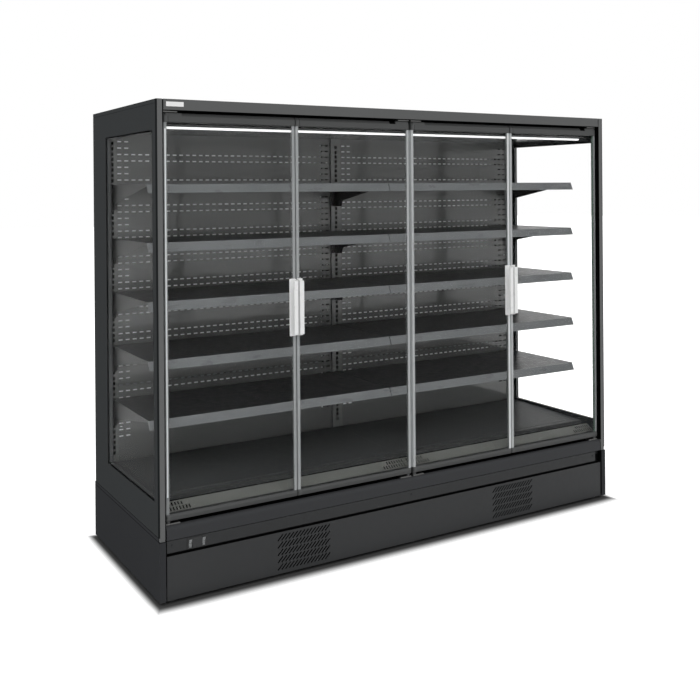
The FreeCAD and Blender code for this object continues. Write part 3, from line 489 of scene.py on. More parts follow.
@dataclass(frozen=True)
class Textured(Finish):
    """A finish whose colour, shine and relief vary a little from place to place."""

    roughness: float = 0.4
    relief: float = 0.05
    relief_depth: float = 0.0002
    tones: tuple[float, float] = (1.0, 1.0)
    wear: tuple[float, float] = (0.0, 0.0)

    def tone(self, wiring: Wiring, pattern: bpy.types.NodeSocket) -> bpy.types.NodeSocket:
        """Shade the colour by a pattern, from its dark tone to its light one."""
        dark, light = self.tones
        return wiring.shades(pattern, tint(self.colour, dark), tint(self.colour, light))

    def shine(
        self, wiring: Wiring, pattern: bpy.types.NodeSocket, span: tuple[float, float] = PATTERN_SPAN,
    ) -> bpy.types.NodeSocket:
        """Spread the roughness by a pattern that lies in a span."""
        return wiring.between(pattern, self.roughness - self.wear[0], self.roughness + self.wear[1], span)

    def pressed(self, wiring: Wiring, pattern: bpy.types.NodeSocket) -> bpy.types.NodeSocket:
        """Press a pattern into the surface."""
        return wiring.bump(pattern, self.relief, self.relief_depth)


@dataclass(frozen=True)
class Stripe:
    """A stripe of another tone across a sheet, by its place in metres; each stripe here is painted shade."""

    along: Axis
    low: float
    high: float
    colour: str


@dataclass(frozen=True)
class PowderCoat(Textured):
    """Baked powder paint on sheet steel: a fine orange-peel grain and a slightly cloudy tone."""

    roughness: float = 0.5
    relief_depth: float = 0.0003
    tones: tuple[float, float] = (0.97, 1.03)
    wear: tuple[float, float] = (0.05, 0.06)
    sheen_level: float = 0.2
    grain: float = 650.0
    cloud_scale: float = 5.0
    wear_scale: float = 38.0
    stripes: tuple[Stripe, ...] = ()

    def lay(self, wiring: Wiring) -> None:
        """Lay the grain, the cloudiness, the painted shade stripes and the shine."""
        tone = self.tone(wiring, wiring.noise(self.cloud_scale, 4.0))
        for stripe in self.stripes:
            tone = wiring.shades(wiring.stripe(stripe.along, stripe.low, stripe.high), tone, tint(stripe.colour))
        wiring.surface({
            "Base Color": tone,
            "Roughness": self.shine(wiring, wiring.noise(self.wear_scale, 3.0)),
            "Specular IOR Level": self.sheen_level,
            "Normal": self.pressed(wiring, wiring.noise(self.grain, 3.0)),
        })


@dataclass(frozen=True)
class MouldedPlastic(Textured):
    """Moulded plastic with a spark-eroded texture and faint flow marks."""

    relief: float = 0.06
    tones: tuple[float, float] = (0.93, 1.07)
    wear: tuple[float, float] = (0.04, 0.05)
    sheen_level: float = 0.4
    texture: float = 1100.0
    flow_scale: float = 9.0
    flow_stretch: tuple[float, float, float] = (1.0, 1.0, 3.0)

    def lay(self, wiring: Wiring) -> None:
        """Lay the texture and the flow marks."""
        flow = wiring.noise(self.flow_scale, 5.0, self.flow_stretch)
        wiring.surface({
            "Base Color": self.tone(wiring, flow),
            "Roughness": self.shine(wiring, flow),
            "Specular IOR Level": self.sheen_level,
            "Normal": self.pressed(wiring, wiring.noise(self.texture, 2.0)),
        })


@dataclass(frozen=True)
class DrawnMetal(Textured):
    """Bare or anodised metal with fine lines along the way it was drawn."""

    roughness: float = 0.35
    tones: tuple[float, float] = (0.9, 1.08)
    wear: tuple[float, float] = (0.05, 0.08)
    wear_scale: float = 25.0
    along: Axis = Axis.Z
    line: float = 900.0
    line_stretch: float = 0.02
    metallic: float = 1.0

    def lay(self, wiring: Wiring) -> None:
        """Lay the drawing lines and a cloudy shine."""
        stretch = [1.0, 1.0, 1.0]
        stretch[self.along.value] = self.line_stretch
        lines = wiring.noise(self.line, 3.0, (stretch[0], stretch[1], stretch[2]))
        wiring.surface({
            "Base Color": self.tone(wiring, lines),
            "Metallic": self.metallic,
            "Roughness": self.shine(wiring, wiring.noise(self.wear_scale, 3.0)),
            "Normal": self.pressed(wiring, lines),
        })


@dataclass(frozen=True)
class Galvanised(Textured):
    """Zinc-coated steel with its patchwork of crystals."""

    roughness: float = 0.42
    tones: tuple[float, float] = (0.78, 1.2)
    wear: tuple[float, float] = (0.1, 0.12)
    crystal: float = 70.0
    metallic: float = 0.85
    grain: float = 300.0

    def lay(self, wiring: Wiring) -> None:
        """Lay the crystals, each with its own tone and shine."""
        cells = wiring.node(
            "ShaderNodeTexVoronoi", {"Vector": wiring.spots(), "Scale": self.crystal, "Randomness": 1.0},
        )
        share = wiring.node("ShaderNodeSeparateColor", {"Color": cells.outputs["Color"]}).outputs["Red"]
        wiring.surface({
            "Base Color": self.tone(wiring, share),
            "Metallic": self.metallic,
            "Roughness": self.shine(wiring, share, (0.0, 1.0)),
            "Normal": self.pressed(wiring, wiring.noise(self.grain, 2.0)),
        })


@dataclass(frozen=True)
class ClearGlass(Finish):
    """Low-reflection pane glass that lets the lamps' light through."""

    bending: float = 1.12

    def lay(self, wiring: Wiring) -> None:
        """Lay the glass, and let shadow rays pass it."""
        glass = wiring.surface({
            "Base Color": tint(self.colour),
            "Roughness": 0.0,
            "IOR": self.bending,
            "Transmission Weight": 1.0,
        })
        passing = wiring.node("ShaderNodeBsdfTransparent", {"Color": tint(self.colour)})
        shadow = wiring.node("ShaderNodeLightPath").outputs["Is Shadow Ray"]
        mix = wiring.node(
            "ShaderNodeMixShader", {0: shadow, 1: glass.outputs["BSDF"], 2: passing.outputs["BSDF"]},
        )
        wiring.tree.links.new(mix.outputs["Shader"], wiring.output.inputs["Surface"])


@dataclass(frozen=True)
class ClearPlastic(Textured):
    """See-through extruded plastic, milky enough to show its own grey."""

    roughness: float = 0.2
    tones: tuple[float, float] = (0.88, 1.1)
    cover: float = 1.0
    sheen_level: float = 0.4
    line: float = 500.0
    line_stretch: tuple[float, float, float] = (1.0, 1.0, 0.03)

    def lay(self, wiring: Wiring) -> None:
        """Lay the milky tone with lines along the extrusion."""
        lines = wiring.noise(self.line, 2.0, self.line_stretch)
        wiring.surface({
            "Base Color": self.tone(wiring, lines),
            "Roughness": self.roughness,
            "Specular IOR Level": self.sheen_level,
            "Alpha": self.cover,
            "Normal": self.pressed(wiring, lines),
        })


@dataclass(frozen=True)
class LitDiffuser(Textured):
    """White diffuser with the light strip on behind it."""

    roughness: float = 0.45
    relief: float = 0.1
    relief_depth: float = 0.0003
    strength: float = 1.0
    rib: float = 400.0
    rib_stretch: tuple[float, float, float] = (0.05, 1.0, 1.0)

    def lay(self, wiring: Wiring) -> None:
        """Lay a softly glowing white plastic."""
        wiring.surface({
            "Base Color": tint(self.colour),
            "Roughness": self.roughness,
            "Emission Color": tint(self.colour),
            "Emission Strength": self.strength,
            "Normal": self.pressed(wiring, wiring.noise(self.rib, 1.0, self.rib_stretch)),
        })


BASE_PAINT = PowderCoat("powder_coat_base", "#2f3031")
# The kickplate's own paint on its front face; faces deeper than 0.6 mm, the vent slots' walls, are painted near-black
# shade.
KICK_PAINT_AND_VENT_SHADE = PowderCoat(
    "powder_coat_kickplate_and_vent_shade", "#353637",
    stripes=(Stripe(Axis.DEPTH, FRONT_PLANE + 0.0006, FRONT_PLANE + 0.03, "#050505"),),
)
# The base covers' own paint, with a thin painted shade line along the cover's top edge, where it meets the lip.
COVER_PAINT_AND_GAP_SHADE = PowderCoat(
    "powder_coat_cover_and_gap_shade", "#3a3b3d", sheen_level=0.0, stripes=(Stripe(Axis.Z, 0.2545, 0.2575, "#1b1c1d"),),
)
# The end walls' own paint, with a painted shade band on the faces within 13.5 mm of the front.
END_PAINT_AND_FRONT_SHADE = PowderCoat(
    "powder_coat_end_wall_and_front_shade", "#404243", sheen_level=0.0,
    stripes=(Stripe(Axis.DEPTH, FRONT_PLANE - 0.001, FRONT_PLANE + 0.0135, "#242627"),),
)
FASCIA_PAINT = PowderCoat("powder_coat_fascia", "#5c5d5d")
PROFILE_PAINT = PowderCoat("powder_coat_end_profile", "#656666")
RAIL_PAINT = PowderCoat("powder_coat_door_rail", "#4c4d4d", roughness=0.42)
CAP_PLASTIC = MouldedPlastic("moulded_rail_cap", "#4a4b4b")
BUMPER_PLASTIC = MouldedPlastic("moulded_bumper", "#393a3c", roughness=0.5, sheen_level=0.12)
LINING_PAINT = PowderCoat("powder_coat_lining", "#5f6160", roughness=0.13, sheen_level=0.5, relief=0.02)
UPRIGHT_PAINT = PowderCoat("powder_coat_upright", "#6a6c6b", roughness=0.2, sheen_level=0.5, relief=0.02)
SHELF_PAINT = PowderCoat("powder_coat_shelf", "#272829", roughness=0.35, sheen_level=0.3)
DECK_PAINT = PowderCoat("powder_coat_deck", "#474949", roughness=0.4, sheen_level=0.07)
HEAD_PAINT = PowderCoat("powder_coat_head_rail", "#2c2d2d")
BRACKET_PAINT = PowderCoat("powder_coat_bracket", "#262727")
# A little lighter than the deck paint: a painted highlight along the decks' front edges.
STRIP_PAINT = PowderCoat("powder_coat_return_strip", "#6e706c")
NOSING_PAINTED_HIGHLIGHT = PowderCoat("powder_coat_deck_nosing_painted_highlight", "#4c4e4e")
LABEL_PLASTIC = MouldedPlastic("extruded_label_rail", "#646768", roughness=0.3)
LINER = MouldedPlastic("pale_duct_liner", "#f2f5f5", roughness=0.6)
BARE_PLATE = MouldedPlastic("bare_badge_plate", "#f4f4f4", roughness=0.3)
# Black plastic for the terminal covers, and as painted shade for the ring round the controller.
BLACK_PLASTIC_AND_SHADE = MouldedPlastic("moulded_black_and_painted_shade", "#151617", roughness=0.3, sheen_level=0.4)
PLATE_PLASTIC = MouldedPlastic("moulded_controller_plate", "#2f3031", roughness=0.4, sheen_level=0.25)
GRILLE_PLASTIC = MouldedPlastic("moulded_air_grille", "#2a2c2c")
ROCKER_PLASTIC = MouldedPlastic("moulded_rocker", "#3a3b3c", roughness=0.35)
RIB_PLASTIC = MouldedPlastic("moulded_rocker_rib", "#b4b7b8", roughness=0.35)
FAN_PLASTIC = MouldedPlastic("moulded_fan", "#101111")
TRAY_PLASTIC = MouldedPlastic("moulded_tray", "#3c3e3f")
BOX_PLASTIC = MouldedPlastic("moulded_terminal_box", "#6d7072")
FOOT_PLASTIC = MouldedPlastic("moulded_foot", "#1a1b1b")
# Black rubber for real seals and seams, also used for black sheets that stand in for the shade in gaps and in the
# hinge notch.
RUBBER_AND_SHADE = MouldedPlastic("soft_rubber_and_painted_shade", "#060606", roughness=0.9, sheen_level=0.02)
# Near-black frame paint: partly the frame's own paint, partly painted shade behind the kickplate vents.
FRAME_PAINT_AND_SHADE = PowderCoat("powder_coat_base_frame_and_painted_shade", "#141516")
BACK_STEEL = Galvanised("galvanised_back", "#8c9193")
HINGE_STEEL = DrawnMetal("drawn_hinge_steel", "#6c6c6b", 0.45, along=Axis.X)
SCREW_STEEL = DrawnMetal("dark_drawn_screw", "#2f3031", 0.4, along=Axis.X)
HOOK_STEEL = MouldedPlastic("bright_hanger_screw", "#e6e9e9", roughness=0.3)
HANDLE_METAL = DrawnMetal("satin_handle", "#f8f9f9", 0.3, along=Axis.Z, metallic=0.0)
LAMP_METAL = DrawnMetal("drawn_lamp_back", "#4a4c4d", 0.4, along=Axis.X)
SPACER_METAL = DrawnMetal("drawn_window_spacer", "#4a4c4d", 0.5, along=Axis.Z, metallic=0.2)
COMPRESSOR_PAINT = PowderCoat("powder_coat_compressor", "#131414", roughness=0.3, sheen_level=0.5)
# Near-black coil paint: partly the coils' own dark paint, partly painted shade so that the vents and slots in front
# of them read black.
COIL_PAINT_AND_SHADE = PowderCoat("powder_coat_coil_and_painted_shade", "#0d0e0e", sheen_level=0.1)
# Near-black tub paint: partly the tub's own dark paint, partly painted shade seen through the return strip's slots.
TUB_PAINT_AND_SHADE = PowderCoat("powder_coat_tub_and_painted_shade", "#151616", sheen_level=0.1)
PANE = ClearGlass("low_reflection_pane", "#ffffff", 1.05)
WINDOW_PANE = ClearGlass("end_window_pane", "#ffffff", 1.015)
PANE_EDGE = MouldedPlastic("ground_pane_edge", "#9aa3a2", roughness=0.3)
HOLLOW_PLASTIC = ClearPlastic("clear_hollow_spacer", "#9a9d9e", cover=0.06)
FAINT_PLASTIC = ClearPlastic("clear_strip_rim", "#8e9192", cover=0.16)
# One milky clear plastic at four brightnesses, painted light and shade for how light falls on each door edge: darkest
# on the case ends, lightest on the right module's strips.
END_STRIP_PAINTED_SHADE = ClearPlastic("clear_strip_case_end_painted_shade", "#a3a6a7", cover=0.55)
LEFT_STRIP_PAINTED_LIGHT = ClearPlastic("clear_strip_left_module_painted_light", "#bcbfc0", cover=0.55)
MIDDLE_STRIP_PAINTED_LIGHT = ClearPlastic("clear_strip_middle_painted_light", "#cfd2d3", cover=0.6)
RIGHT_STRIP_PAINTED_LIGHT = ClearPlastic("clear_strip_right_module_painted_light", "#f2f5f6", cover=0.75)
LIP_PLASTIC = ClearPlastic("milky_gap_lip", "#c3c7c8", cover=0.6)
PALE_BEAD = MouldedPlastic("pale_hinge_bead", "#e4e8e8", roughness=0.4)
GREEN_BEAD = MouldedPlastic("green_hinge_bead", "#4a6355", roughness=0.4)
DIFFUSER = LitDiffuser("lit_diffuser", "#ffffff", strength=0.55)

SIDES = ("left", "right")
NODE_FINISHES: dict[str, Finish] = {
    "base_frame": FRAME_PAINT_AND_SHADE,
    "levelling_feet": FOOT_PLASTIC,
    **{f"base_cover_{side}": COVER_PAINT_AND_GAP_SHADE for side in SIDES},
    "kickplate": KICK_PAINT_AND_VENT_SHADE,
    "control_band": BASE_PAINT,
    "bumper": BUMPER_PLASTIC,
    "controller": PLATE_PLASTIC,
    "rocker_cooling": ROCKER_PLASTIC,
    "rocker_lamp": ROCKER_PLASTIC,
    "tub": TUB_PAINT_AND_SHADE,
    "rear_wall": BACK_STEEL,
    "roof": BACK_STEEL,
    **{f"end_panel_{side}": END_PAINT_AND_FRONT_SHADE for side in SIDES},
    "end_windows": WINDOW_PANE,
    "window_spacers": SPACER_METAL,
    "end_front_profiles": PROFILE_PAINT,
    "canopy_fascia": FASCIA_PAINT,
    "blank_badge": BARE_PLATE,
    "door_head": HEAD_PAINT,
    "lamp_profile": LAMP_METAL,
    "lamp_diffuser": DIFFUSER,
    "air_grille": GRILLE_PLASTIC,
    "door_sill": BASE_PAINT,
    "hinge_brackets": HINGE_STEEL,
    "uprights": UPRIGHT_PAINT,
    "duct_panels": LINING_PAINT,
    "price_rails": LABEL_PLASTIC,
    "shelf_brackets": BRACKET_PAINT,
    "decks": DECK_PAINT,
    "return_grille": STRIP_PAINT,
    "condensers": COIL_PAINT_AND_SHADE,
    **{f"{kind}_fan_{side}": FAN_PLASTIC for kind in ("condenser", "evaporator") for side in SIDES},
    "compressors": COMPRESSOR_PAINT,
    "drain_tray": TRAY_PLASTIC,
    "electrical_box": BOX_PLASTIC,
    "evaporators": COIL_PAINT_AND_SHADE,
    "screws": SCREW_STEEL,
    **{f"shelf_{level}": SHELF_PAINT for level in range(1, 6)},
    **{f"door_{number}_frame": RAIL_PAINT for number in range(1, 5)},
    **{f"door_{number}_glazing": PANE for number in range(1, 5)},
    **{f"door_{number}_handle": HANDLE_METAL for number in range(1, 5)},
}


def dress_nodes() -> None:
    """Give every CAD node its finish, in all of its material slots."""
    for name, finish in NODE_FINISHES.items():
        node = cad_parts[name]
        for slot in node.material_slots:
            slot.material = finish.material()
        LOG.info("dressed %s in %s", name, finish.name)


# ------------------------------------------------------------------ rear duct
@dataclass
class RearDuct:
    """Slotted sheets in front of the rear air duct, their pale liner, the ceiling sheet and the hanger screws."""

    slot: tuple[float, float] = (20.0, 6.0)
    first_column: float = 51.5
    column_pitch: float = 34.0
    columns: int = 34
    top_row: float = 1902.0
    row_pitch: float = 30.15
    rows: int = 47
    last_full_row: int = 43
    end_slots: int = 2
    sheet: float = 1.2
    side_gap: float = 30.0
    upright_stand: float = 10.0
    liner_gap: float = 1.0
    liner_sheet: float = 1.0
    liner_margin: tuple[float, float] = (30.0, 4.0)
    liner_bevel: float = 0.3
    liner_reach: tuple[tuple[float, float], ...] = ((-1189.0, -116.0), (-88.0, -84.0), (31.0, 1062.0))
    liner_split: tuple[float, float] = (745.0, 768.0)
    hook: tuple[float, float] = (11.0, 4.0)
    hook_reach: tuple[float, float] = (1.6, 1.0)
    hook_bevel: float = 0.8
    hook_columns: tuple[float, ...] = (51.5, 1173.5)
    hook_rows: tuple[float, ...] = (3.0, 21.0, 29.0, 35.0, 41.0, 44.5)

    def build(self) -> None:
        """Make the sheets of both modules, the ceiling, the liners and the hanger screws."""
        room = Room.of("duct_panels")
        face = Room.of("uprights").depth[0] + self.upright_stand
        draft = Draft()
        for module in Module:
            self.sheet_for(draft, module, face, room)
        ceiling_front = Room.of("air_grille").depth[1]
        draft.box(room.x, (ceiling_front, face + self.sheet), (room.z[1] - self.sheet, room.z[1]))
        draft.piece("slotted_duct_sheets", LINING_PAINT, slot="inner_panel", replaces=["duct_panels"])
        liner = Draft()
        back = face + self.sheet + self.liner_gap
        below, above = self.liner_margin
        for reach in self.liner_reach:
            for z in ((room.z[0] + below, self.liner_split[0]), (self.liner_split[1], room.z[1] - above)):
                liner.box(reach, (back, back + self.liner_sheet), z, self.liner_bevel, 1)
        liner.piece("pale_duct_liners", LINER, slot="inner_panel")
        self.hooks(face)

    def hooks(self, face: float) -> None:
        """Make the bright hanger screws in the slots next to the uprights.

        Args:
            face: Depth of the sheets' front.
        """
        draft = Draft()
        half_width, half_height = self.hook[0] / 2, self.hook[1] / 2
        depth = (face - self.hook_reach[0], face + self.hook_reach[1])
        for module in Module:
            for column in self.hook_columns:
                x = module.value * column
                for row in self.hook_rows:
                    z = self.top_row - row * self.row_pitch
                    draft.box(
                        (x - half_width, x + half_width), depth, (z - half_height, z + half_height), self.hook_bevel,
                    )
        draft.piece("duct_hanger_screws", HOOK_STEEL, slot="inner_panel")

    def sheet_for(self, draft: Draft, module: Module, face: float, room: Room) -> None:
        """Add the slotted sheet of one module.

        Args:
            draft: The draft to add to.
            module: The module.
            face: Depth of the sheet's front.
            room: Space of the CAD sheets.
        """
        sign = module.value
        half_width, half_height = self.slot[0] / 2, self.slot[1] / 2
        middles = sorted(sign * (self.first_column + i * self.column_pitch) for i in range(self.columns))
        heights = sorted(self.top_row - i * self.row_pitch for i in range(self.rows))
        outer = room.x[1] - self.side_gap
        edges = sorted((sign * self.side_gap, sign * outer))
        across = [edges[0], *(x + side for x in middles for side in (-half_width, half_width)), edges[1]]
        top = room.z[1] - self.sheet
        up = [room.z[0], *(z + side for z in heights for side in (-half_height, half_height)), top]

        def is_open(column: int, row: int) -> bool:
            """Say whether a ruled cell is an air slot.

            Args:
                column: Its column, counted from the left.
                row: Its row, counted from below.

            Returns:
                Whether it is cut out.
            """
            if column % 2 == 0 or row % 2 == 0:
                return False
            place = (column - 1) // 2
            level = self.rows - 1 - (row - 1) // 2
            whole = level % 4 in (2, 3) and level <= self.last_full_row
            return whole or place < self.end_slots or place >= self.columns - self.end_slots

        draft.pierced(across, up, face, self.sheet, is_open)


# ------------------------------------------------------------------ label rails
@dataclass
class LabelRails:
    """Leaning label rails with a bead along the top and a lip along the foot."""

    height: float = 39.0
    lean: float = 15.0
    wall: float = 2.0
    bead: float = 3.4
    lip: float = 0.9
    end_gap: float = 2.0
    levels: int = 5
    shelf_front: float = 208.0

    def build(self) -> None:
        """Make every rail as one piece."""
        draft = Draft()
        end = Room.of("price_rails").x[1]
        for level in range(self.levels):
            top = Room.of(f"shelf_{level + 1}").z[1]
            for module in Module:
                span = sorted((module.value * self.end_gap, module.value * end))
                self.rail(draft, top, span)
        draft.piece("label_rails", LABEL_PLASTIC, slot="rail_grey", replaces=["price_rails"])

    def rail(self, draft: Draft, top: float, span: Sequence[float]) -> None:
        """Add one rail.

        Args:
            draft: The draft to add to.
            top: Height of its shelf's top.
            span: Its two ends.
        """
        front = self.shelf_front - self.wall
        toe = front - self.lean
        slope = self.lean / self.height
        foot = top - self.height
        outline = [
            (front + self.wall, top), (front - 1.0, top), (front - 1.6, top - 1.2), (front - 1.2, top - 3.0),
            (front - slope * self.bead + 0.2, top - self.bead), (toe + 0.5, foot + self.bead),
            (toe - self.lip, foot + 3.0), (toe - self.lip, foot + 0.4), (toe, foot), (toe + self.wall, foot),
            (front + self.wall, top - 8.0),
        ]
        draft.section(outline, span)


# ------------------------------------------------------------------ doors
@dataclass(frozen=True)
class StripEdge:
    """One upright edge of a door: its side, the finish of its clear strip with its painted light and shade, and that
    of its bead, if any.
    """

    on_left: bool
    finish: Finish
    bead: Finish | None = None


@dataclass
class Door:
    """One hinged door: its panes, clear edge strips, spacers, rail caps, hinge housing and grip."""

    number: int
    hinge_on_left: bool
    edges: tuple[StripEdge, StripEdge]
    pane: float = 5.0
    pane_edge: float = 0.5
    spacer: float = 11.0
    spacer_wall: float = 1.2
    strip: float = 13.0
    strip_rim: float = 3.0
    strip_front: float = 17.2
    strip_wall: float = 1.5
    glass_gap: float = 0.1
    back_step: float = 0.5
    bead_place: tuple[float, float] = (3.5, 9.5)
    bead_margin: tuple[float, float] = (70.0, 26.0)
    line_place: tuple[float, float] = (19.0, 23.0)
    bead_rise: float = 0.6
    bead_bevel: float = 0.3
    lip: float = 5.5
    lip_tip: float = 1.0
    lip_depth: tuple[float, float] = (26.0, 31.0)
    hinge_rise: float = 15.0
    pin_reach: float = 8.0
    rail_face: float = 14.0
    bottom_top: float = 27.0
    top_foot: float = 38.0
    cap: tuple[float, float] = (7.0, 17.4)
    cap_rise: float = 0.3
    seam: float = 1.9
    seam_rise: float = 0.15
    shoulder: float = 13.0
    housing: tuple[float, float] = (7.5, 77.0)
    housing_bevel: float = 0.4
    notch: tuple[float, float] = (73.0, 108.0)
    grip_base: float = 28.0
    grip_lip: float = 20.0
    grip_wall: float = 3.0
    grip_bevel: float = 9.0

    @property
    def body(self) -> str:
        """Name of the body that the door's pieces ride on."""
        return f"door_{self.number}"

    @property
    def rails(self) -> tuple[float, float]:
        """Heights between the bottom rail and the top rail.

        Returns:
            The bottom rail's top and the top rail's foot.
        """
        leaf = Room.of(f"{self.body}_frame")
        low = Room.of("hinge_brackets").z[0] + self.hinge_rise
        return (low + self.bottom_top, leaf.z[1] - self.pin_reach - self.top_foot)

    def build(self) -> None:
        """Make all pieces of the door."""
        self.panes()
        self.spacers()
        for edge in self.edges:
            self.edge_strip(edge)
        self.rail_caps()
        self.hinge_housing()
        self.grip()

    def panes(self) -> None:
        """Make the two panes and the ground edges that catch the light."""
        room = Room.of(f"{self.body}_glazing")
        glass, edges = Draft(), Draft()
        for start in (room.depth[0], room.depth[1] - self.pane):
            depth = (start, start + self.pane)
            glass.box((room.x[0] + self.pane_edge, room.x[1] - self.pane_edge), depth, room.z)
            for x0 in (room.x[0], room.x[1] - self.pane_edge):
                edges.box((x0, x0 + self.pane_edge), depth, room.z)
        glass.piece(f"{self.body}_panes", PANE, self.body, "glass", [f"{self.body}_glazing"])
        edges.piece(f"{self.body}_pane_edges", PANE_EDGE, self.body, "glass")

    def spacers(self) -> None:
        """Make the clear hollow spacers between the panes."""
        room = Room.of(f"{self.body}_glazing")
        d0, d1 = room.depth[0] + self.pane, room.depth[1] - self.pane
        hollow = Draft()
        for x0 in (room.x[0] + self.pane_edge, room.x[1] - self.pane_edge - self.spacer):
            x1 = x0 + self.spacer
            hollow.tube([(x0, d0), (x1, d0), (x1, d1), (x0, d1)], self.spacer_wall, self.rails)
        hollow.piece(f"{self.body}_edge_spacers", HOLLOW_PLASTIC, self.body, "glass")

    def edge_strip(self, edge: StripEdge) -> None:
        """Make the clear strip that laps round one upright edge of the panes.

        Args:
            edge: The edge.
        """
        leaf = Room.of(f"{self.body}_frame")
        glass = Room.of(f"{self.body}_glazing")
        outer = leaf.x[0] if edge.on_left else leaf.x[1]
        inward = 1 if edge.on_left else -1
        side = "left" if edge.on_left else "right"
        front, wall = self.strip_front, self.strip_wall
        lap, back = glass.depth[0] - self.glass_gap, glass.depth[1] - self.back_step

        def at(across: float, depth: float) -> tuple[float, float]:
            """Place a point by its distance inward from the door's edge."""
            return (outer + inward * across, depth)

        strip = Draft()
        strip.section([
            at(0.0, front + 2.6), at(0.4, front + 1.2), at(1.2, front + 0.4), at(2.4, front),
            at(self.strip - 0.8, front), at(self.strip, front + 0.6), at(self.strip, lap), at(wall, lap),
            at(wall, back), at(self.back_step, back), at(0.0, back - self.back_step),
        ], self.rails, Axis.Z)
        name = f"{self.body}_{side}_strip"
        strip.piece(name, edge.finish, self.body, "glass")
        rim, far = Draft(), self.strip + self.strip_rim
        rim.section(
            [at(self.strip, lap - 1.6), at(far, lap - 0.4), at(far, lap), at(self.strip, lap)], self.rails, Axis.Z,
        )
        rim.piece(f"{name}_rim", FAINT_PLASTIC, self.body, "glass")
        if edge.bead:
            bead, span, (near, far) = Draft(), self.rails, self.line_place
            if edge.on_left:
                span = (self.rails[0] + self.bead_margin[0], self.rails[1] - self.bead_margin[1])
                near, far = self.bead_place
            raised = front - self.bead_rise
            outline = [at(near, raised), at(far, raised), at(far, lap), at(near, lap)]
            bead.section(outline, span, Axis.Z, self.bead_bevel)
            bead.piece(f"{name}_bead", edge.bead, self.body, "glass")
        if edge.on_left == self.hinge_on_left and edge.bead is None:
            lip = Draft()
            d0, d1 = self.lip_depth
            tip, blunt = -self.lip, -self.lip + self.lip_tip
            lip.section(
                [at(tip, (d0 + d1) / 2), at(blunt, d0), at(0.0, d0), at(0.0, d1), at(blunt, d1)], self.rails, Axis.Z,
            )
            lip.piece(f"{name}_lip", LIP_PLASTIC, self.body, "glass")

    def rail_caps(self) -> None:
        """Make the moulded caps on the rails' left ends, each with a dark seam beside it."""
        left = Room.of(f"{self.body}_frame").x[0]
        low, high = self.rails
        face, ground, crown = self.rail_face, low - self.bottom_top, high + self.top_foot
        caps, seams = Draft(), Draft()
        start, end = left + self.cap[0], left + self.cap[1]
        for span, rise, draft in (
            ((start, end), self.cap_rise, caps), ((end, end + self.seam), self.seam_rise, seams),
        ):
            draft.section([
                (face + 2.0 - rise, high + 0.4), (face - rise, high + 2.0), (face - rise, high + 25.0),
                (face + 9.6 - rise, crown), (face + 14.0, crown), (face + 14.0, high + 0.4),
            ], span)
        out = face - self.cap_rise
        caps.section([
            (out + 4.0, ground + 2.2), (out, low - 10.0), (out + 4.6, low - 0.4),
            (face + 10.0, low - 0.4), (face + 10.0, ground + 2.2),
        ], (start, end))
        caps.piece(f"{self.body}_rail_caps", CAP_PLASTIC, self.body, "door_profile")
        seams.piece(f"{self.body}_cap_seams", RUBBER_AND_SHADE, self.body, "door_profile")

    def hinge_housing(self) -> None:
        """Make the housing over the top hinge, and beside it on the right-hung doors a black wedge in the notch that
        stands in for its shade.
        """
        leaf = Room.of(f"{self.body}_frame")
        edge = leaf.x[0] if self.hinge_on_left else leaf.x[1]
        inward = 1 if self.hinge_on_left else -1
        face, crown = self.rail_face, self.rails[1] + self.top_foot
        foot = crown - self.shoulder
        draft = Draft()
        draft.section([
            (face + 0.2, foot - 0.5), (face + 0.2, crown - 1.4), (face + 1.6, crown), (face + 12.0, crown),
            (face + 2.0, foot - 0.5),
        ], sorted(edge + inward * place for place in self.housing), bevel=self.housing_bevel)
        draft.piece(f"{self.body}_hinge_housing", RAIL_PAINT, self.body, "door_profile")
        # The black wedge is painted shade in the notch of the rail's chamfer.
        if not self.hinge_on_left:
            notch = Draft()
            notch.section([
                (face - 0.2, foot), (face + 9.8, crown), (face + 12.0, crown), (face + 2.0, foot),
            ], sorted(edge + inward * place for place in self.notch))
            notch.piece(f"{self.body}_rail_notch_shade", RUBBER_AND_SHADE, self.body, "door_profile")

    def grip(self) -> None:
        """Make the grip: a drawn profile with a rolled lip, and bevelled ends."""
        room = Room.of(f"{self.body}_handle")
        sign = -1 if self.hinge_on_left else 1
        edge = room.x[1] if self.hinge_on_left else room.x[0]
        front, root = room.depth[0], room.depth[1]
        wall, lip, base = self.grip_wall, self.grip_lip, self.grip_base

        def at(across: float, depth: float) -> tuple[float, float]:
            """Place a point by its distance from the door's free edge."""
            return (edge + sign * across, depth)

        outline = [
            at(0.0, root), at(0.0, front + 1.4), at(1.4, front), at(lip - 1.0, front), at(lip, front + 1.0),
            at(lip, front + wall + 1.6), at(lip - 2.0, front + wall + 1.6), at(lip - 2.4, front + wall),
            at(wall + 2.0, front + wall), at(wall, front + wall + 2.0), at(wall, root - wall - 2.0),
            at(wall + 2.0, root - wall), at(base - 1.5, root - wall), at(base, root - 1.5), at(base, root),
        ]
        draft = Draft()
        draft.section(outline, room.z, Axis.Z)
        for level, up in ((room.z[0], 1.0), (room.z[1], -1.0)):
            place = Vector((edge, root - wall, level))
            way = Vector((0.0, -self.grip_bevel, -up * (root - wall - front))).normalized()
            geom = [*draft.mesh.verts, *draft.mesh.edges, *draft.mesh.faces]
            cut = bmesh.ops.bisect_plane(
                draft.mesh, geom=geom, plane_co=place, plane_no=way, clear_outer=True, dist=WELD,
            )["geom_cut"]
            rim = [item for item in cut if isinstance(item, bmesh.types.BMEdge)]
            bmesh.ops.contextual_create(draft.mesh, geom=rim)
        draft.piece(f"{self.body}_grip", HANDLE_METAL, self.body, "handle", [f"{self.body}_handle"])


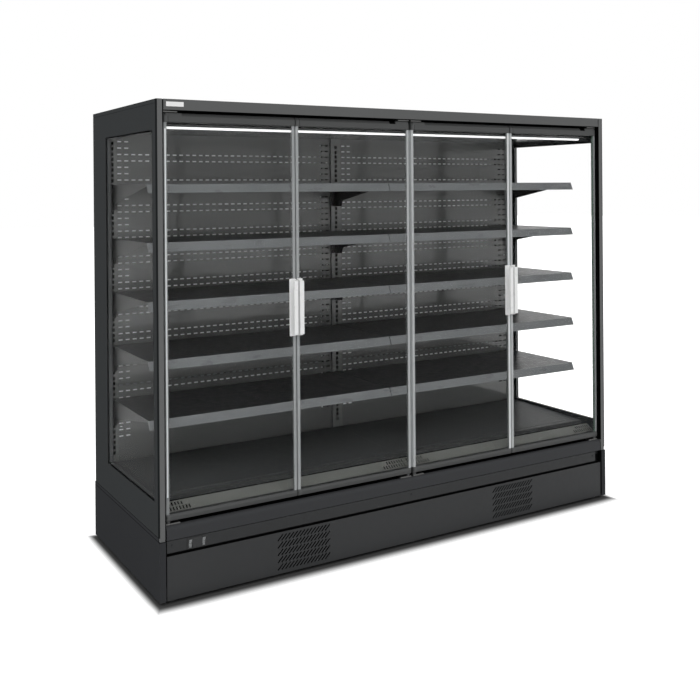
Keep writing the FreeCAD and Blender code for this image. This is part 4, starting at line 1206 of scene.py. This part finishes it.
DOOR_EDGES: tuple[tuple[StripEdge, StripEdge], ...] = (
    (StripEdge(True, END_STRIP_PAINTED_SHADE, PALE_BEAD), StripEdge(False, LEFT_STRIP_PAINTED_LIGHT)),
    (StripEdge(True, LEFT_STRIP_PAINTED_LIGHT), StripEdge(False, MIDDLE_STRIP_PAINTED_LIGHT)),
    (StripEdge(True, MIDDLE_STRIP_PAINTED_LIGHT), StripEdge(False, RIGHT_STRIP_PAINTED_LIGHT)),
    (StripEdge(True, MIDDLE_STRIP_PAINTED_LIGHT), StripEdge(False, END_STRIP_PAINTED_SHADE, GREEN_BEAD)),
)


# ------------------------------------------------------------------ controls
@dataclass
class Controls:
    """The controller's raised black ring, which stands in for the shade along the plate's edge, its two ribbed
    rockers and the band's screws.
    """

    ring_width: float = 3.2
    ring_rise: float = 0.9
    ring_sink: float = 0.3
    corner: float = 5.0
    corner_cut: float = 0.3
    rocker_width: float = 14.0
    rocker_half: float = 17.0
    rocker_waist: float = 6.0
    pivot_depth: float = 7.0
    tilt: float = 8.0
    ribs: int = 5
    rib_radius: float = 0.75
    rib_sides: int = 8
    rib_start: float = 0.7
    rib_inset: float = 1.2
    rocker_bevel: float = 0.6
    screw_head: float = 4.0
    screw_rise: float = 1.5
    screw_rim: tuple[float, float] = (1.2, 0.4)
    screw_sink: float = 0.1
    screw_sides: int = 20
    recess: tuple[float, float] = (1.5, 1.7)
    recess_floor: float = 0.5

    def build(self) -> None:
        """Make the bezel, the rockers and the screws."""
        self.bezel()
        for name in ("cooling", "lamp"):
            self.rocker(name)
        self.screws()

    def bezel(self) -> None:
        """Make the raised black ring round the controller's face, which stands in for the shade along the plate's
        edge.
        """
        room = Room.of("controller")
        draft = Draft()
        x, z = room.x, room.z
        front = room.depth[0]
        cut = self.corner * self.corner_cut
        outline = [
            (x[0] + self.corner, z[0]), (x[1] - self.corner, z[0]), (x[1] - cut, z[0] + cut),
            (x[1], z[0] + self.corner), (x[1], z[1] - self.corner), (x[1] - cut, z[1] - cut),
            (x[1] - self.corner, z[1]), (x[0] + self.corner, z[1]), (x[0] + cut, z[1] - cut),
            (x[0], z[1] - self.corner), (x[0], z[0] + self.corner), (x[0] + cut, z[0] + cut),
        ]
        draft.tube(outline, self.ring_width, (front - self.ring_rise, front + self.ring_sink), Axis.DEPTH)
        draft.piece("controller_shade_ring", BLACK_PLASTIC_AND_SHADE, slot="black_plastic")

    def rocker(self, name: str) -> None:
        """Make one rocker cap with cross ribs on both halves of its face.

        Args:
            name: Which rocker.
        """
        node = f"rocker_{name}"
        room = Room.of(node)
        middle = sum(room.x) / 2
        level = sum(Room.of("controller").z) / 2
        half = self.rocker_width / 2
        rise = self.rocker_half * math.tan(math.radians(self.tilt))
        face = self.pivot_depth - self.rocker_waist
        heel = self.pivot_depth + self.rocker_waist
        draft = Draft()
        draft.section([
            (face - rise, level + self.rocker_half), (face, level), (face - rise, level - self.rocker_half),
            (heel, level - self.rocker_half), (heel, level + self.rocker_half),
        ], (middle - half, middle + half), bevel=self.rocker_bevel)
        ribs, reach = Draft(), half - self.rib_inset
        for side in (1, -1):
            for i in range(self.ribs):
                share = (i + self.rib_start) / self.ribs
                z = level + side * share * self.rocker_half
                depth = face - rise * share
                ribs.bar((middle - reach, depth, z), (middle + reach, depth, z), self.rib_radius, self.rib_sides)
        turn = Matrix.Rotation(math.radians(self.tilt), 3, "X")
        for part in (draft, ribs):
            bmesh.ops.rotate(
                part.mesh, cent=Vector((middle, self.pivot_depth, level)), matrix=turn, verts=part.mesh.verts[:],
            )
        draft.piece(f"{node}_cap", ROCKER_PLASTIC, node, "rocker_plastic", [node])
        ribs.piece(f"{node}_ribs", RIB_PLASTIC, node, "rocker_plastic")

    def screws(self) -> None:
        """Make the band's screws, each with a round recess."""
        room = Room.of("screws")
        level, head = sum(room.z) / 2, self.screw_head
        ends = (room.x[0] + head, room.x[1] - head)
        draft = Draft()
        for x in (ends[0], sum(ends) / 2, ends[1]):
            draft.turned([
                (0.0, -self.recess_floor), (self.recess[0], -self.recess_floor), (self.recess[1], -self.screw_rise),
                (head - self.screw_rim[0], -self.screw_rise), (head, -self.screw_rim[1]), (head, self.screw_sink),
                (0.0, self.screw_sink),
            ], (x, 0.0, level), Axis.DEPTH, self.screw_sides)
        draft.piece("band_screws", SCREW_STEEL, slot="screw_steel", replaces=["screws"])


# ------------------------------------------------------------------ base, back and machine compartment
@dataclass
class BackRibs:
    """Ribs pressed into the rear wall and the roof."""

    swage_width: float = 22.0
    swage_rise: float = 2.0
    first: float = 160.0
    pitch: float = 300.0
    count: int = 4
    margin: float = 120.0
    sunk: float = 1.0
    swage_bevel: float = 1.9
    bead_places: tuple[float, ...] = (-20.0, 0.0, 20.0)
    bead_half: float = 6.0
    bead_rise: float = 1.6
    bead_bevel: float = 1.2
    bead_margin: float = 12.0

    def build(self) -> None:
        """Make the pressed ribs."""
        wall = Room.of("rear_wall")
        ribs = Draft()
        half = self.swage_width / 2
        for module in Module:
            for i in range(self.count):
                x = module.value * (self.first + i * self.pitch)
                ribs.box((x - half, x + half), (wall.depth[1] - self.sunk, wall.depth[1] + self.swage_rise),
                         (wall.z[0] + self.margin, wall.z[1] - self.margin), self.swage_bevel, 3)
        roof = Room.of("roof")
        for x in self.bead_places:
            ribs.box((x - self.bead_half, x + self.bead_half),
                     (roof.depth[0] + self.bead_margin, roof.depth[1] - self.bead_margin),
                     (roof.z[1] - self.sunk, roof.z[1] + self.bead_rise), self.bead_bevel, 2)
        ribs.piece("pressed_back_ribs", BACK_STEEL, slot="inner_panel")


@dataclass
class CabinetTrim:
    """Nosing of the decks in a painted highlight tone, seams of the return strip, beads of the windows, and the black
    seals, partly sheets of painted shade in the gaps.
    """

    inner_half: float = 1219.0
    wall_face: float = 1220.0
    profile_face: float = 1225.0
    skin: float = 1250.0
    nosing_gap: float = 2.0
    nosing_depth: tuple[float, float] = (0.8, 1.2)
    nosing_rise: tuple[float, float] = (1.8, 0.5)
    nosing_bevel: float = 0.4
    seams: tuple[float, ...] = (-670.0, 0.0, 550.0)
    seam_half: float = 0.9
    seam_over: tuple[float, float] = (0.6, 0.4)
    seam_under: tuple[float, float] = (0.4, 0.6)
    bead: float = 5.0
    bead_sink: tuple[float, float] = (1.0, 0.1)
    seal: float = 0.8
    thin_seal: float = 0.7
    wall_seal: float = 0.3
    seal_gap: float = 1.0
    head_back: float = 48.0
    head_rise: float = 7.5
    sill: float = 313.0
    sill_top: float = 345.0
    bracket_reach: tuple[float, float] = (5.0, 68.0)
    bracket_back: float = 24.2
    profile_reach: tuple[float, float] = (13.5, 14.0)
    cover_seam: tuple[tuple[float, float], tuple[float, float]] = ((16.0, 886.0), (270.2, 272.8))
    band_gap: tuple[tuple[float, float], tuple[float, float]] = ((3.0, 20.0), (194.0, 256.0))

    def build(self) -> None:
        """Make the trim pieces."""
        self.nosing()
        self.return_seams()
        self.window_beads()
        self.seals()

    def nosing(self) -> None:
        """Make the folded front edge of each deck, a little lighter than the deck as a painted highlight."""
        room = Room.of("decks")
        draft = Draft()
        for module in Module:
            span = sorted((module.value * self.nosing_gap, module.value * room.x[1]))
            draft.box(
                span, (room.depth[0] - self.nosing_depth[0], room.depth[0] + self.nosing_depth[1]),
                (room.z[1] - self.nosing_rise[0], room.z[1] + self.nosing_rise[1]), self.nosing_bevel,
            )
        draft.piece("deck_nosings", NOSING_PAINTED_HIGHLIGHT, slot="inner_panel")

    def return_seams(self) -> None:
        """Make the dark seams between the lengths of the return strip."""
        room = Room.of("return_grille")
        draft = Draft()
        front, back = room.depth
        for x in self.seams:
            draft.section([
                (front, room.z[0] + self.seam_over[0]), (back, room.z[1] + self.seam_over[1]),
                (back, room.z[1] - self.seam_under[1]), (front, room.z[0] - self.seam_under[0]),
            ], (x - self.seam_half, x + self.seam_half))
        draft.piece("return_strip_seams", RUBBER_AND_SHADE, slot="black_plastic")

    def window_beads(self) -> None:
        """Make the painted beads round the windows, inside the openings."""
        room = Room.of("end_windows")
        draft = Draft()
        (front, back), (foot, top) = room.depth, room.z
        outline = [(front, foot), (back, foot), (back, top), (front, top)]
        for module in Module:
            span = sorted(module.value * (self.skin - sink) for sink in self.bead_sink)
            draft.tube(outline, self.bead, span, Axis.X)
        draft.piece("window_beads", END_PAINT_AND_FRONT_SHADE, slot="end_paint")

    def seals(self) -> None:
        """Make the black seals between the doors and the cabinet: partly real gaskets, partly black sheets that stand
        in for the shade in the gaps round the doors, the end profiles and the base covers.
        """
        head = Room.of("door_head")
        fascia = Room.of("canopy_fascia")
        whole = (-self.inner_half, self.inner_half)
        draft = Draft()
        gap = self.seal_gap
        draft.box(whole, (self.head_back - self.thin_seal, self.head_back), (head.z[0] + self.head_rise, fascia.z[0]))
        draft.box(whole, (gap, self.head_back - gap), (fascia.z[0] - self.seal, fascia.z[0]))
        draft.box(whole, (self.head_back - self.seal, self.head_back), (self.sill, self.sill_top))
        near, far = self.bracket_reach
        for span in ((-near, near), (far, self.inner_half - far), (far - self.inner_half, -far)):
            draft.box(span, (self.bracket_back, self.head_back - 0.5), (self.sill, self.sill + self.seal))
        opening, (inner, outer) = (self.sill, fascia.z[0]), self.profile_reach
        for side in (-1, 1):
            for x, depth, z in (
                ((self.wall_face - self.wall_seal, self.wall_face), (outer, self.head_back), opening),
                ((self.wall_face + 0.2, self.profile_face), self.profile_reach, opening),
                ((self.profile_face - self.thin_seal, self.profile_face), (0.6, inner), opening),
                ((self.profile_face + gap, self.skin - gap), *self.cover_seam),
                ((self.inner_half - self.seal, self.profile_face - 1.2), *self.band_gap),
            ):
                draft.box(sorted(side * value for value in x), depth, z)
        draft.piece("cabinet_seals_and_shade_sheets", RUBBER_AND_SHADE, slot="black_plastic")


@dataclass
class MachineFittings:
    """Condenser fins and the compressors' terminal covers."""

    fin_pitch: float = 3.0
    fin: float = 0.5
    fin_reach: float = 1.4
    coil_half: float = 140.0
    coil_margin: float = 3.0
    centres: tuple[float, float] = (-590.0, 601.0)
    compressors: tuple[float, float] = (-300.0, 300.0)
    cover_reach: tuple[float, float] = (92.0, 60.0)
    cover_half: float = 28.0
    cover_heights: tuple[float, float] = (70.0, 122.0)
    cover_bevel: float = 4.0

    def build(self) -> None:
        """Make the fins and the terminal covers."""
        self.fins()
        self.terminals()

    def fins(self) -> None:
        """Make the fins that stand out of both coils' front faces."""
        coil = Room.of("condensers")
        draft = Draft()
        count = int(2 * self.coil_half / self.fin_pitch)
        for centre in self.centres:
            for i in range(count):
                x = centre - self.coil_half + (i + 0.5) * self.fin_pitch
                draft.box((x, x + self.fin), (coil.depth[0] - self.fin_reach, coil.depth[0] + 1.0),
                          (coil.z[0] + self.coil_margin, coil.z[1] - self.coil_margin))
        draft.piece("condenser_fins", COIL_PAINT_AND_SHADE, slot="coil")

    def terminals(self) -> None:
        """Make the terminal covers on the compressors' left sides."""
        body = Room.of("compressors")
        middle = sum(body.depth) / 2
        draft = Draft()
        for x in self.compressors:
            draft.box((x - self.cover_reach[0], x - self.cover_reach[1]),
                      (middle - self.cover_half, middle + self.cover_half), self.cover_heights, self.cover_bevel, 3)
        draft.piece("compressor_terminal_covers", BLACK_PLASTIC_AND_SHADE, slot="black_plastic")


# ------------------------------------------------------------------ studio
@dataclass
class Studio:
    """Plain pale floor, soft light and the camera at the photograph's angle."""

    camera_place: tuple[float, float, float] = (-2.5341, -4.0547, 1.6666)
    camera_turn: tuple[float, float, float] = (math.pi / 2, 0.0076, -0.5454)
    lens: float = 48.137
    sensor: float = 36.0
    frame_shift: tuple[float, float] = (0.0, -0.22878)
    floor_half: float = 40.0
    # Inner and outer widths of the painted contact shadow beside and in front of the base, in metres, and its tone.
    side_shade: tuple[float, float] = (0.003, 0.048)
    front_shade: tuple[float, float] = (0.012, 0.1)
    shade_tone: float = 0.07
    lift: float = 0.5
    bounce: float = 0.4
    sky: float = 1.0
    key_power: float = 60.0
    key_size: float = 4.0
    key_place: tuple[float, float, float] = (-3.2, -5.2, 5.0)
    key_aim: tuple[float, float, float] = (0.0, 0.0, 0.9)

    def build(self) -> None:
        """Set up the floor, the world, the key light and the camera."""
        self.floor()
        self.world()
        self.key_light()
        self.camera()

    @staticmethod
    def seen(tree: bpy.types.NodeTree) -> bpy.types.NodeSocket:
        """Give 1 for camera, glossy and transmission rays, and 0 for the others.

        Args:
            tree: The node tree to add the nodes to.

        Returns:
            The socket.
        """
        path = tree.nodes.new("ShaderNodeLightPath")
        value = path.outputs["Is Camera Ray"]
        for name in ("Is Glossy Ray", "Is Transmission Ray"):
            most = tree.nodes.new("ShaderNodeMath")
            most.operation = "MAXIMUM"
            tree.links.new(value, most.inputs[0])
            tree.links.new(path.outputs[name], most.inputs[1])
            value = most.outputs[0]
        return value

    def floor(self) -> None:
        """Lay the floor: white where nothing is near, with a painted contact shadow in a band round the base."""
        wiring = Wiring("pale_floor")
        clear = self.clear_of_painted_shadow(wiring)
        shade = (self.shade_tone, self.shade_tone, self.shade_tone, 1.0)
        pale = wiring.node("ShaderNodeBsdfDiffuse", {"Color": wiring.shades(clear, shade, (1.0, 1.0, 1.0, 1.0))})
        power = wiring.node("ShaderNodeMath", {0: clear, 1: self.lift}, operation="MULTIPLY").outputs[0]
        lift = wiring.node("ShaderNodeEmission", {"Color": (1.0, 1.0, 1.0, 1.0), "Strength": power})
        shown = wiring.node("ShaderNodeAddShader", {0: pale.outputs[0], 1: lift.outputs[0]})
        bounce = wiring.node("ShaderNodeBsdfDiffuse", {"Color": (self.bounce, self.bounce, self.bounce, 1.0)})
        mix = wiring.node(
            "ShaderNodeMixShader", {0: self.seen(wiring.tree), 1: bounce.outputs[0], 2: shown.outputs[0]},
        )
        wiring.tree.links.new(mix.outputs[0], wiring.output.inputs["Surface"])
        mesh = bmesh.new()
        bmesh.ops.create_grid(mesh, x_segments=1, y_segments=1, size=self.floor_half)
        data = bpy.data.meshes.new("studio_floor")
        mesh.to_mesh(data)
        mesh.free()
        data.materials.append(wiring.material)
        made = bpy.data.objects.new("studio_floor", data)
        bpy.context.scene.collection.objects.link(made)

    def clear_of_painted_shadow(self, wiring: Wiring) -> bpy.types.NodeSocket:
        """Give 0 on the floor under and right beside the base, rising softly to 1 farther out: the mask of the
        painted contact shadow.

        Args:
            wiring: The floor's wiring.

        Returns:
            The mask's socket.
        """
        low, high = CAD_BOX
        place = wiring.node("ShaderNodeTexCoord").outputs["Object"]
        split = wiring.node("ShaderNodeSeparateXYZ", {0: place})
        clear: bpy.types.NodeSocket | None = None
        for axis, edge, sign, (near, far) in (
            (Axis.X, low.x, -1, self.side_shade), (Axis.X, high.x, 1, self.side_shade),
            (Axis.DEPTH, FRONT_PLANE, -1, self.front_shade), (Axis.DEPTH, high.y, 1, self.side_shade),
        ):
            ramp = wiring.node(
                "ShaderNodeMapRange",
                {"Value": split.outputs[axis.value], "From Min": edge + sign * near, "From Max": edge + sign * far},
                interpolation_type="SMOOTHSTEP",
            ).outputs["Result"]
            if clear is not None:
                ramp = wiring.node("ShaderNodeMath", {0: clear, 1: ramp}, operation="MAXIMUM").outputs[0]
            clear = ramp
        return clear

    def world(self) -> None:
        """Light the object evenly from all sides, with a white background."""
        world = bpy.data.worlds.new("soft_studio")
        world.use_nodes = True
        tree = world.node_tree
        tree.nodes.clear()
        even = tree.nodes.new("ShaderNodeBackground")
        even.inputs["Strength"].default_value = self.sky
        white = tree.nodes.new("ShaderNodeBackground")
        white.inputs["Strength"].default_value = 1.0
        for shade in (even, white):
            shade.inputs["Color"].default_value = (1.0, 1.0, 1.0, 1.0)
        mix = tree.nodes.new("ShaderNodeMixShader")
        output = tree.nodes.new("ShaderNodeOutputWorld")
        tree.links.new(self.seen(tree), mix.inputs[0])
        tree.links.new(even.outputs[0], mix.inputs[1])
        tree.links.new(white.outputs[0], mix.inputs[2])
        tree.links.new(mix.outputs[0], output.inputs["Surface"])
        bpy.context.scene.world = world

    def key_light(self) -> None:
        """Add one large soft lamp in front of the object, above and to the left."""
        lamp = bpy.data.lights.new("soft_key", "AREA")
        lamp.shape = "SQUARE"
        lamp.size = self.key_size
        lamp.energy = self.key_power
        made = bpy.data.objects.new("soft_key", lamp)
        made.location = self.key_place
        way = Vector(self.key_aim) - Vector(self.key_place)
        made.rotation_euler = way.to_track_quat("-Z", "Y").to_euler()
        bpy.context.scene.collection.objects.link(made)

    def camera(self) -> None:
        """Place the camera as in the photograph."""
        data = bpy.data.cameras.new("photo_camera")
        data.sensor_fit = "HORIZONTAL"
        data.sensor_width = self.sensor
        data.lens = self.lens
        data.shift_x, data.shift_y = self.frame_shift
        made = bpy.data.objects.new("photo_camera", data)
        made.location = self.camera_place
        made.rotation_euler = self.camera_turn
        bpy.context.scene.collection.objects.link(made)
        bpy.context.scene.camera = made
        bpy.context.scene.view_settings.view_transform = "Standard"


def main() -> None:
    """Build the studio and every sub-assembly, in order."""
    logging.basicConfig(level=logging.INFO, format="%(message)s")
    Studio().build()
    dress_nodes()
    RearDuct().build()
    LabelRails().build()
    for number, (left, right) in enumerate(DOOR_EDGES, start=1):
        Door(number, number % 2 == 1, (left, right)).build()
    Controls().build()
    CabinetTrim().build()
    BackRibs().build()
    MachineFittings().build()


if __name__ == "__main__":
    main()
